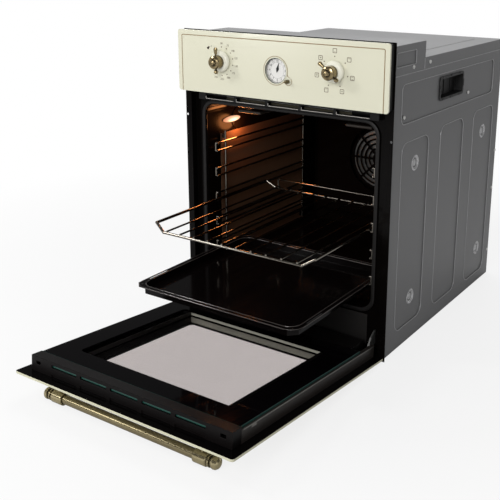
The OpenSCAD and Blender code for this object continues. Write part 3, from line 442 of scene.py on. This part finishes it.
def words(text, x, z, size, depth=panel_face, thick=print_thick):
    """Printed figures."""
    bpy.ops.object.select_all(action="DESELECT")
    bpy.ops.object.text_add(location=(x, depth, z), rotation=(pi / 2, 0, 0))
    t = bpy.context.object
    t.data.body, t.data.size, t.data.extrude = text, size, thick
    t.data.align_x, t.data.align_y = "CENTER", "CENTER"
    bpy.ops.object.convert(target="MESH")
    return bpy.context.object


def ring_between(outer, inner, depth, thick, centre=(0.0, clock_z), closed=True):
    """A flat ring, or an open strip, between two outlines in the panel's plane, in mm round the centre."""
    n = len(outer)
    verts, faces = [], []
    for y in (depth - thick, depth):
        for loop in (outer, inner):
            verts += [(centre[0] + p[0] / 1000, y, centre[1] + p[1] / 1000) for p in loop]
    for i in range(n if closed else n - 1):
        j = (i + 1) % n
        faces += [(i, j, n + j, n + i), (2 * n + i, 3 * n + i, 3 * n + j, 2 * n + j),
                  (i, 2 * n + i, 2 * n + j, j), (n + i, n + j, 3 * n + j, 3 * n + i)]
    if not closed:
        faces += [(0, n, 3 * n, 2 * n), (n - 1, 3 * n - 1, 4 * n - 1, 2 * n - 1)]
    mesh = bpy.data.meshes.new("ring")
    mesh.from_pydata(verts, [], faces)
    obj = bpy.data.objects.new("ring", mesh)
    bpy.context.scene.collection.objects.link(obj)
    pick(obj)
    bpy.ops.object.mode_set(mode="EDIT")
    bpy.ops.mesh.select_all(action="SELECT")
    bpy.ops.mesh.normals_make_consistent(inside=False)
    bpy.ops.object.mode_set(mode="OBJECT")
    return obj


def sign_outline(half, radius):
    """Rounded square, the oven sign round which each function's own mark stands."""
    points = []
    for cx, cy, start in ((half - radius, half - radius, 0), (radius - half, half - radius, 90),
                          (radius - half, radius - half, 180), (half - radius, radius - half, 270)):
        points += corner_arc((cx, cy), radius, start, 4)
    return points


# Dots and signs stand on circles round each knob's middle
dot_radius, dot_reach, sign_reach = 0.00115, 0.0268, 0.0365
prints = []
for i, mark in enumerate(("50", "75", "100", "125", "150", "175", "200", "225", "250")):
    a = radians(25.5 * i)
    prints.append(disc(*around(-knob_x, knob_z, dot_reach, a), dot_radius))
    # the wide figures stand a little further out at the sides
    prints.append(words(mark, -knob_x + 0.0345 * sin(a), knob_z + 0.0335 * cos(a), size=0.0052, thick=0.0001))
for i, sign in enumerate(("bottom", "top", "both", "fan", "grill", "grill_fan", "lamp")):
    a = radians(360 / 7 * i)
    prints.append(disc(*around(knob_x, knob_z, dot_reach, a), dot_radius))
    x, z = around(knob_x, knob_z, sign_reach, a)
    prints.append(ring_between(sign_outline(4.1, 1.3), sign_outline(3.2, 0.7), panel_face, 0.0001, (x, z)))
    if sign in ("bottom", "both"):
        prints.append(stroke(x, z - 0.0019, wide=0.0042, high=0.0005))
    if sign in ("top", "both", "grill", "grill_fan"):
        prints.append(stroke(x, z + 0.0019, wide=0.0042, high=0.0005))
    if sign in ("fan", "grill_fan"):
        prints += [stroke(x, z, wide=0.0032, high=0.0006), stroke(x, z, wide=0.0006, high=0.0032)]
    if sign == "lamp":
        prints.append(disc(x, z, 0.0011))
settle(joined(prints), "panel_signs", "oven", sign_print)


def line_path(half, high, radius):
    """The printed line's path in mm: up the left side, along the top and down the right side."""
    low = 468.2
    points = [(-half, low)]
    for cx, start in ((radius - half, 90), (half - radius, 0)):
        points += corner_arc((cx, high - radius), radius, start, 5)[::-1]
    return points + [(half, low)]


# The printed line turns tighter at its corners than the groove below it, which the enamel fills
dress(["panel_inlay"], cream_enamel)
line = ring_between(line_path(220, 577, 3.5), line_path(218.5, 575.5, 2), panel_face - 0.0001, 0.00012,
                    centre=(0.0, 0.0), closed=False)
settle(line, "panel_line", "oven", brown_print)

# The off mark, a dot with a small circle beside it, stands left of the first temperature
black_print = surface("black screen print", "#1c1714", "#241d19", metallic=0.0, roughness=0.5, scale=200)
marks = [disc(-knob_x - 0.030, knob_z + 0.0250, 0.0017), words("o", -knob_x - 0.0245, knob_z + 0.0275, size=0.0045)]
settle(joined(marks), "off_mark", "oven", black_print)

red_lens = surface("dark red acrylic lens", "#2a0a06", "#200704", metallic=0.0, roughness=0.2, scale=50)
dress(["indicator_lens"], red_lens)


# Clock
# A clock with a white printed dial and black steel hands under a flat glass. A brown printed line runs round its
# opening and, as a drop, round the brass knob that sets it.
def drop_distance(x, z):
    """Distance in mm from the drop-shaped outline round the clock's opening and its setting knob."""
    blend = 9.0
    opening = hypot(x, z) - 26.2
    setter = hypot(x - 27.5, z + 17) - 7.6
    h = max(0.0, min(1.0, 0.5 + 0.5 * (setter - opening) / blend))
    return setter * (1 - h) + opening * h - blend * h * (1 - h) * 0.55


def drop_outline(offset, count=144):
    """Points of the drop, at which its distance passes the offset, found by halving along each ray."""
    points = []
    for i in range(count):
        t = 2 * pi * i / count
        inside, outside = 5.0, 55.0
        for _ in range(30):
            middle = (inside + outside) / 2
            if drop_distance(middle * cos(t), middle * sin(t)) > offset:
                outside = middle
            else:
                inside = middle
        points.append((outside * cos(t), outside * sin(t)))
    return points


def circle(radius, count=96):
    return [(radius * cos(2 * pi * i / count), radius * sin(2 * pi * i / count)) for i in range(count)]


drop = ring_between(drop_outline(0.5), drop_outline(-0.5), row(-21), 0.00012)
settle(drop, "clock_line", "oven", brown_print)
bezel = ring_between(circle(25.0), circle(23.2), row(-21), 0.0009)
soften(bezel, 0.0004, segments=3)
settle(bezel, "clock_bezel", "oven", cream_enamel)
edge_glass = surface("green edge of the clock's glass", "#3c463f", "#4a544c", metallic=0.0, roughness=0.2, scale=80)
glass_edge = ring_between(circle(23.2), circle(22.4), row(-20.6), 0.0003)
settle(glass_edge, "clock_glass_edge", "oven", edge_glass)

dial_white = surface("white printed dial", "#efe9e9", "#eae5e5", metallic=0.0, roughness=0.55, scale=60)
dress(["clock_dial"], dial_white)
dial_face = row(-15.55)
tick_reach, hour_reach = 0.0208, 0.0171
dial = [ring_between(circle(22.1), circle(21.6), dial_face, print_thick),
        ring_between(circle(14.6), circle(14.35), dial_face, print_thick)]
for i in range(12):
    a = radians(30 * i)
    x, z = around(0, clock_z, tick_reach, a)
    tick = stroke(0, 0, wide=0.0007, high=0.0020, depth=0)
    tick.matrix_world = Matrix.Translation((x, dial_face, z)) @ Matrix.Rotation(a, 4, "Y")
    dial += [tick, words(str(i or 12), *around(0, clock_z, hour_reach, a), size=0.0052, depth=dial_face)]
settle(joined(dial), "dial_print", "oven", black_print)
hand_black = surface("black lacquered steel hands", "#0b0b0c", "#121213", metallic=0.0, roughness=0.35, scale=200)
dress(["hour_hand", "minute_hand"], hand_black)


def clear(name, tint, gloss):
    """Thin glass: most light goes straight through, and the shader's gloss lies on it."""
    m, tree = new_material(name)
    through = add(tree, "BsdfTransparent", {"Color": linear(tint)})
    shine = add(tree, "BsdfPrincipled", {"Base Color": linear("#050505"), "Roughness": 0.03, "IOR": 1.5})
    grime = add(tree, "TexNoise", {"Scale": 25.0}, {"Vector": add(tree, "TexCoord").outputs["Object"]})
    slant = add(tree, "LayerWeight", {"Blend": 0.25})
    share = add(tree, "MapRange", {"To Min": gloss, "To Max": 0.25}, {"Value": slant.outputs["Fresnel"]})
    smear = add(tree, "Math", {"operation": "MULTIPLY_ADD", 1: 0.02, "use_clamp": True},
                {0: grime.outputs["Fac"], 2: share.outputs[0]})
    both = add(tree, "MixShader", {}, {0: smear.outputs[0], 1: through.outputs[0], 2: shine.outputs[0]})
    finish(tree, both)
    return m


dress(["clock_glass"], clear("clear clock glass", "#fdfefd", gloss=0.01))
brass = surface("brushed antique brass", "#70664a", "#544c37", metallic=0.9, roughness=0.3, scale=30, bump=0.15,
                bump_scale=500)
dress(["clock_setting_knob"], brass)

# Knobs
# Each knob is a domed skirt of cream plastic with a turned barrel and cross lever in antique brass. The barrel has a
# knurled band near the skirt, and dark patina lies in its rings.
knob_cream = surface("glossy cream plastic", "#e3e1d0", "#e7e5d5", metallic=0.0, roughness=0.25, scale=40,
                     Coat_Weight=0.2)
dress(["thermostat_knob", "selector_knob"], knob_cream)


def patina(name, bright, dark, roughness, reach, scale):
    """Turned brass, dark in its hollows as far as the reach, in metres."""
    m, tree = new_material(name)
    where = add(tree, "TexCoord")
    grain = add(tree, "TexNoise", {"Scale": scale, "Detail": 3.0}, {"Vector": where.outputs["Object"]})
    hollow = add(tree, "AmbientOcclusion", {"Distance": reach, "samples": 8})
    depth = add(tree, "MapRange", {"From Min": 0.45, "From Max": 0.95}, {"Value": hollow.outputs["AO"]})
    worn = add(tree, "Math", {"operation": "MULTIPLY_ADD", 1: 0.12, 2: -0.06}, {0: grain.outputs["Fac"]})
    share = add(tree, "Math", {"operation": "ADD", "use_clamp": True}, {0: depth.outputs[0], 1: worn.outputs[0]})
    tone = add(tree, "MixRGB", {"Color1": linear(dark), "Color2": linear(bright)}, {"Fac": share.outputs[0]})
    rough = add(tree, "MapRange", {"To Min": roughness + 0.2, "To Max": roughness}, {"Value": share.outputs[0]})
    lift = add(tree, "Bump", {"Strength": 0.15, "Distance": 0.0002}, {"Height": grain.outputs["Fac"]})
    shader = add(tree, "BsdfPrincipled", {"Metallic": 0.95},
                 {"Base Color": tone.outputs[0], "Roughness": rough.outputs[0], "Normal": lift.outputs[0]})
    finish(tree, shader)
    return m


knob_brass = patina("turned antique brass", "#8f8060", "#12100c", roughness=0.18, reach=0.005, scale=300)
dress(["thermostat_lever", "selector_lever"], knob_brass)


def knurl(x):
    """The band round a knob's barrel, on which every second of 120 edges stands out."""
    bpy.ops.object.select_all(action="DESELECT")
    bpy.ops.mesh.primitive_cylinder_add(vertices=120, radius=0.0121, depth=0.0034)
    band = bpy.context.object
    for v in band.data.vertices:
        if round(degrees(atan2(v.co.y, v.co.x)) / 3) % 2:
            v.co.x *= 1.035
            v.co.y *= 1.035
    band.matrix_world = Matrix.Translation((x, row(-33.2), knob_z)) @ Matrix.Rotation(pi / 2, 4, "X")
    return band


settle(knurl(-knob_x), "thermostat_knurl", "thermostat_control", knob_brass)
settle(knurl(knob_x), "selector_knurl", "selector_control", knob_brass)


# Cavity
# The muffle is deep-drawn steel in black easy-clean enamel with fine specks, and a baffle with the stamped fan guard
# closes its rear. Chromed wire ladders hang before brown liners on its sides, and the lamp sits high on the left.
def specked(name, colour, other, speck, roughness, level):
    """Enamel with fine specks and a little unevenness. The level is that of its gloss."""
    m, tree = new_material(name)
    where = add(tree, "TexCoord").outputs["Object"]
    clouds = add(tree, "TexNoise", {"Scale": 18.0, "Detail": 4.0}, {"Vector": where})
    base = add(tree, "MixRGB", {"Color1": linear(colour), "Color2": linear(other)}, {"Fac": clouds.outputs["Fac"]})
    # specks of about 0.8 mm
    dots = add(tree, "TexVoronoi", {"Scale": 420.0}, {"Vector": where})
    few = add(tree, "MapRange", {"From Min": 0.12, "From Max": 0.2, "To Min": 0.5, "To Max": 0.0},
              {"Value": dots.outputs["Distance"]})
    tone = add(tree, "MixRGB", {"Color2": linear(speck)}, {"Fac": few.outputs[0], "Color1": base.outputs[0]})
    lift = add(tree, "Bump", {"Strength": 0.1, "Distance": 0.0003}, {"Height": clouds.outputs["Fac"]})
    shader = add(tree, "BsdfPrincipled", {"Roughness": roughness, "Specular IOR Level": level},
                 {"Base Color": tone.outputs[0], "Normal": lift.outputs[0]})
    finish(tree, shader)
    return m


cavity_enamel = specked("black easy-clean enamel", "#080504", "#0b0705", "#16100c", roughness=0.2, level=0.03)
dress(["cavity", "fan_baffle"], cavity_enamel, bevel=0.0005)
# A porous catalytic liner hangs between each ladder and the side wall, with a hole for the ladder's front hook
liner_enamel = surface("porous brown catalytic enamel", "#4d3423", "#5a3f2b", metallic=0.0, roughness=0.8, scale=220,
                       bump=0.5, bump_scale=900, Specular_IOR_Level=0.2)
liner_x = 0.1868
liners = []
for sx in (1, -1):
    liner = block((sx * liner_x, row(213), 0.240), (0.0008, 0.318, 0.262))
    hole = block((sx * liner_x, row(70), 0.318), (0.004, 0.004, 0.013))
    cut = liner.modifiers.new("hook_hole", "BOOLEAN")
    cut.object, cut.operation = hole, "DIFFERENCE"
    bpy.context.view_layer.objects.active = liner
    bpy.ops.object.modifier_apply(modifier="hook_hole")
    bpy.data.objects.remove(hole)
    liners.append(liner)
settle(joined(liners), "catalytic_liners", "oven", liner_enamel)

wire = surface("chromed steel wire", "#88827a", "#726d66", metallic=1.0, roughness=0.16, scale=80, rough_by=0.05)
dress(["ladder_left", "ladder_right", "ladder_nuts", "wire_shelf"], wire)
sheath = surface("oxidised element sheath", "#4b4540", "#38332f", metallic=0.6, roughness=0.5, scale=60, bump=0.2,
                 bump_scale=300)
dress(["grill_element", "ring_element", "bottom_element", "thermostat_bulb"], sheath)

# The oval cover is brightest in its middle and turns amber towards its rim
cover_y, cover_z = row(94), 0.3950
bpy.ops.object.select_all(action="DESELECT")
bpy.ops.mesh.primitive_uv_sphere_add(segments=40, ring_count=20, radius=1, location=(-0.1885, cover_y, cover_z))
cover = bpy.context.object
cover.scale = (0.0070, 0.0280, 0.0060)
bpy.ops.object.transform_apply(location=False, rotation=False, scale=True)
bpy.ops.object.shade_smooth()
lit_glass, tree = new_material("lit ribbed glass of the oven lamp")
glow_long, glow_high = 0.030, 0.0075
where = add(tree, "TexCoord")
middle = add(tree, "Mapping", {"Location": (0.0, -cover_y / glow_long, -cover_z / glow_high),
                               "Scale": (0.0, 1 / glow_long, 1 / glow_high)}, {"Vector": where.outputs["Object"]})
away = add(tree, "VectorMath", {"operation": "LENGTH"}, {0: middle.outputs[0]})
glow = add(tree, "MapRange", {"From Min": 0.1, "From Max": 0.95, "To Min": 1.0, "To Max": 0.12},
           {"Value": away.outputs["Value"]})
warm = add(tree, "MixRGB", {"Color1": linear("#b5521a"), "Color2": linear("#ffe9c4")}, {"Fac": glow.outputs[0]})
shader = add(tree, "BsdfPrincipled", {"Base Color": linear("#2a1c12"), "Roughness": 0.2, "Emission Strength": 1.5},
             {"Emission Color": warm.outputs[0]})
finish(tree, shader)
settle(cover, "lamp_cover", "oven", lit_glass)
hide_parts("lamp_lens")
# An enamelled plate closes the lamp socket's opening behind the cover
bpy.ops.object.select_all(action="DESELECT")
bpy.ops.mesh.primitive_cylinder_add(vertices=64, radius=0.0245, depth=0.0012, location=(-0.1888, row(120), 0.394),
                                    rotation=(0, pi / 2, 0))
soften(settle(bpy.context.object, "lamp_plate", "oven", cavity_enamel), 0.0004)
# The lamp's light on the walls
cavity_lamp = bpy.data.lights.new("cavity_lamp", "POINT")
cavity_lamp.energy, cavity_lamp.color, cavity_lamp.shadow_soft_size = 0.5, linear("#ff9c58")[:3], 0.018
bulb = bpy.data.objects.new("cavity_lamp", cavity_lamp)
bulb.location = (-0.170, row(104), 0.384)
bpy.context.scene.collection.objects.link(bulb)

# Baking tray
# A deep-drawn tray of black enamelled steel with slots in its rim. The outer edge is rolled round a wire, the well's
# edge has a shoulder, and small studs are pressed up at the rim's corners.
tray_enamel = specked("black speckled enamel", "#060404", "#080606", "#14100e", roughness=0.12, level=0.12)
dress(["baking_tray"], tray_enamel, bevel=0.0004)
bumps = []
for sx in (1, -1):
    for y in (-213, 108):
        bpy.ops.object.select_all(action="DESELECT")
        bpy.ops.mesh.primitive_uv_sphere_add(segments=20, ring_count=10, radius=0.0028,
                                             location=(sx * 0.1672, row(y), 0.1355))
        bump = bpy.context.object
        bump.scale = (1, 1, 0.5)
        bumps.append(bump)
# each roll as half width, front and rear, height and radius in mm
corner = 24
rolls = []
for x, y0, y1, z, radius in ((178.3, -224.3, 119.3, 135.2, 1.0), (169.4, -215.5, 110.5, 135.4, 0.9)):
    path = []
    for cx, cy, start in ((x - corner, y1 - corner, 0), (corner - x, y1 - corner, 90),
                          (corner - x, y0 + corner, 180), (x - corner, y0 + corner, 270)):
        path += corner_arc((cx, cy), corner, start, 6)
    rolls.append(bead([(px / 1000, row(py), z / 1000) for px, py in path], radius / 1000, resolution=3, closed=True))
# The rolls are glossier than the tray's enamel, and their grey, far lighter than its black, is a painted highlight.
roll_highlight_enamel = surface("glossy enamel on the rolled edge", "#4a4543", "#37322f", metallic=0.3, roughness=0.1, scale=60,
                      Specular_IOR_Level=1.0)
settle(joined(rolls), "tray_roll", "tray", roll_highlight_enamel)
settle(joined(bumps), "tray_bumps", "tray", tray_enamel)

# Door
# A steel frame between three panes. The outer pane is printed cream on its face and black inside, the inner pane has
# a black printed border, and both leave the window clear. Plastic strips close it at the top and the bottom.
door_turn = radians(84.84)
hinge = Vector((0, row(-13), 0.015))


def open_door(obj):
    """Turns a piece from the closed door's place to the open one."""
    bpy.context.view_layer.update()
    swing = Matrix.Translation(hinge) @ Matrix.Rotation(door_turn, 4, "X") @ Matrix.Translation(-hinge)
    obj.matrix_world = swing @ obj.matrix_world
    return obj


def printed_pane(name, face, back, edge_colour, face_side, window, tint):
    """Glass with an opaque print round a clear window, given as half width, lower and upper edge in mm, door shut."""
    m, tree = new_material(name)
    where = add(tree, "TexCoord")
    # back to the closed door's axes, with the hinge as the origin
    shut = add(tree, "Mapping", {"vector_type": "TEXTURE", "Location": hinge, "Rotation": (door_turn, 0, 0)},
               {"Vector": where.outputs["Object"]})
    axis = add(tree, "SeparateXYZ", {}, {0: shut.outputs[0]})
    # distance to the window's outline, whose corners have this radius
    corner = 0.009
    half, low, high = (v / 1000 for v in window)
    shift = add(tree, "VectorMath", {"operation": "SUBTRACT", 1: (0, 0, (low + high) / 2 - hinge.z)},
                {0: shut.outputs[0]})
    wide = add(tree, "VectorMath", {"operation": "ABSOLUTE"}, {0: shift.outputs[0]})
    over = add(tree, "VectorMath", {"operation": "SUBTRACT", 1: (half - corner, 1.0, (high - low) / 2 - corner)},
               {0: wide.outputs[0]})
    kept = add(tree, "VectorMath", {"operation": "MAXIMUM", 1: (0, 0, 0)}, {0: over.outputs[0]})
    reach = add(tree, "VectorMath", {"operation": "LENGTH"}, {0: kept.outputs[0]})
    open_part = add(tree, "Math", {"operation": "LESS_THAN", 1: corner}, {0: reach.outputs["Value"]})
    outside = add(tree, "Math", {"operation": "LESS_THAN", 1: face_side}, {0: axis.outputs[1]})
    # the ground edge of the pane, where the surface doesn't face the pane's own direction
    toward = add(tree, "VectorMath", {"operation": "DOT_PRODUCT", 1: (0, cos(door_turn), sin(door_turn))},
                 {0: where.outputs["Normal"]})
    flat = add(tree, "Math", {"operation": "ABSOLUTE"}, {0: toward.outputs["Value"]})
    rim = add(tree, "Math", {"operation": "LESS_THAN", 1: 0.6}, {0: flat.outputs[0]})
    wash = add(tree, "TexNoise", {"Scale": 12.0, "Detail": 3.0}, {"Vector": where.outputs["Object"]})
    tone = add(tree, "MixRGB", {"Color1": linear(back), "Color2": linear(face)}, {"Fac": outside.outputs[0]})
    edged = add(tree, "MixRGB", {"Color2": linear(edge_colour)}, {"Fac": rim.outputs[0], "Color1": tone.outputs[0]})
    lift = add(tree, "MapRange", {"To Min": 0.96, "To Max": 1.04}, {"Value": wash.outputs["Fac"]})
    uneven = add(tree, "HueSaturation", {}, {"Color": edged.outputs[0], "Value": lift.outputs[0]})
    ink = add(tree, "BsdfPrincipled", {"Roughness": 0.05, "Specular IOR Level": 0.1},
              {"Base Color": uneven.outputs[0]})
    through = add(tree, "BsdfTransparent", {"Color": linear(tint)})
    shine = add(tree, "BsdfPrincipled", {"Base Color": linear("#0a0a0a"), "Roughness": 0.05, "IOR": 1.5})
    pane = add(tree, "MixShader", {0: 0.006}, {1: through.outputs[0], 2: shine.outputs[0]})
    both = add(tree, "MixShader", {}, {0: open_part.outputs[0], 1: ink.outputs[0], 2: pane.outputs[0]})
    finish(tree, both)
    return m


outer_pane = printed_pane("outer door glass, printed cream", face="#cfcdb9", back="#050404", edge_colour="#c6c4ac",
                          face_side=-0.0085, window=(150, 98, 372), tint="#faf7f6")
dress(["door_outer_glass"], outer_pane, bevel=0.0004)
inner_pane = printed_pane("inner door glass, printed black", face="#040304", back="#040304", edge_colour="#1c3a35",
                          face_side=0.5, window=(164, 104, 381), tint="#fdfcfc")
dress(["door_inner_glass"], inner_pane)
dress(["door_middle_glass"], clear("clear door glass", "#fcfbfb", gloss=0.004))

# Sheet spacers stand between the panes round the window, before and behind the middle pane, as place, height and size
# in mm.
# They are copies of one sheet: the one on the hinge's side is painted grey as lit, and the others are painted black
# as shaded.
lit_spacer_coat = surface("spacer sheet painted grey as lit", "#b3b4a6", "#a4a598", metallic=0.1, roughness=0.5, scale=30)
shaded_spacer_coat = surface("spacer sheet painted black as shaded", "#141110", "#1a1715", metallic=0.1, roughness=0.5, scale=30)
gaps = ((-17.8, -7.1), (-2.9, 4.8))
far_side = ((0, 97.5, 304, 0.6),)
other_sides = ((-152, 236, 0.6, 278), (152, 236, 0.6, 278), (0, 374.5, 304, 0.6))
for title, coat, sides in (("window_spacers_far", lit_spacer_coat, far_side),
                           ("window_spacers", shaded_spacer_coat, other_sides)):
    spacers = []
    for y0, y1 in gaps:
        for x, z, wide, high in sides:
            place = (x / 1000, row((y0 + y1) / 2), z / 1000)
            spacers.append(open_door(block(place, (wide / 1000, (y1 - y0) / 1000, high / 1000))))
    settle(joined(spacers), title, "door", coat)

# The ground edges of the panes stand green in the strip's slots
sea_green = surface("ground edge of float glass", "#1f4a42", "#193c36", metallic=0.0, roughness=0.25, scale=80)
pane_edge = open_door(block((0, row(0.4), 0.4395), (0.372, 0.004, 0.0026)))
settle(pane_edge, "pane_edge", "door", sea_green)

profile_steel = surface("black coated steel profile", "#2a2624", "#322d2a", metallic=0.4, roughness=0.34, scale=60,
                        bump=0.08, bump_scale=300)
dress(["door_profile_left", "door_profile_right"], profile_steel)
door_plastic = surface("moulded black heat-proof plastic", "#090707", "#0e0b0b", metallic=0.0, roughness=0.36,
                       scale=90, bump=0.2, bump_scale=900, Specular_IOR_Level=0.12)
dress(["door_top_strip", "door_bottom_rail"], door_plastic, bevel=0.0006)
# Bare steel edge of the side profiles, with the clip that holds the inner pane, as place and size in mm
bare_steel = surface("bare rolled steel edge", "#8b8984", "#75736f", metallic=0.9, roughness=0.35, scale=40)
strips = []
for sx in (1, -1):
    for x, y, z, *size in ((211.9, 3.4, 217, 0.9, 1.8, 402), (211.6, 1.0, 392, 1.6, 5.0, 12)):
        strips.append(open_door(block((sx * x / 1000, row(y), z / 1000), [s / 1000 for s in size])))
settle(joined(strips), "profile_edges", "door", bare_steel)

bright_steel = surface("zinc plated steel", "#8f8f8d", "#7a7a78", metallic=0.85, roughness=0.38, scale=60, bump=0.1,
                       bump_scale=200)
dress(["hinge_claws", "hinge_channels", "hinge_pins"], bright_steel)

# Handle
# A drawn brass tube in brushed antique finish between turned ends, each with a sleeve, rings and a domed tip. Screws
# through two holes in the outer pane hold the ends.
bar_brass = surface("brushed antique brass tube", "#968b6c", "#8b8063", metallic=0.95, roughness=0.24, scale=6,
                    rough_by=0.02)
dress(["handle_bar"], bar_brass)
end_brass = patina("turned antique brass ends", "#b0a481", "#100f0a", roughness=0.16, reach=0.006, scale=200)
dress(["handle_ends"], end_brass)

# Works inside the casing
# What the casing hides: motors, fans, switches and ducts of pressed steel, zinc plated, behind the baffle and in the
# head box, and a blanket of mineral wool wrapped round the cavity.
dress(["convection_motor", "convection_fan", "air_duct", "cooling_fan_housing", "cooling_fan_motor",
       "cooling_fan_rotor", "thermostat", "selector_switch", "clock_case", "oven_lamp"], bright_steel)
wool = surface("mineral wool blanket", "#4c4738", "#38342a", metallic=0.0, roughness=0.95, scale=40, bump=0.6,
               bump_scale=400)
dress(["insulation"], wool)

bpy.context.scene.view_settings.view_transform = "Standard"
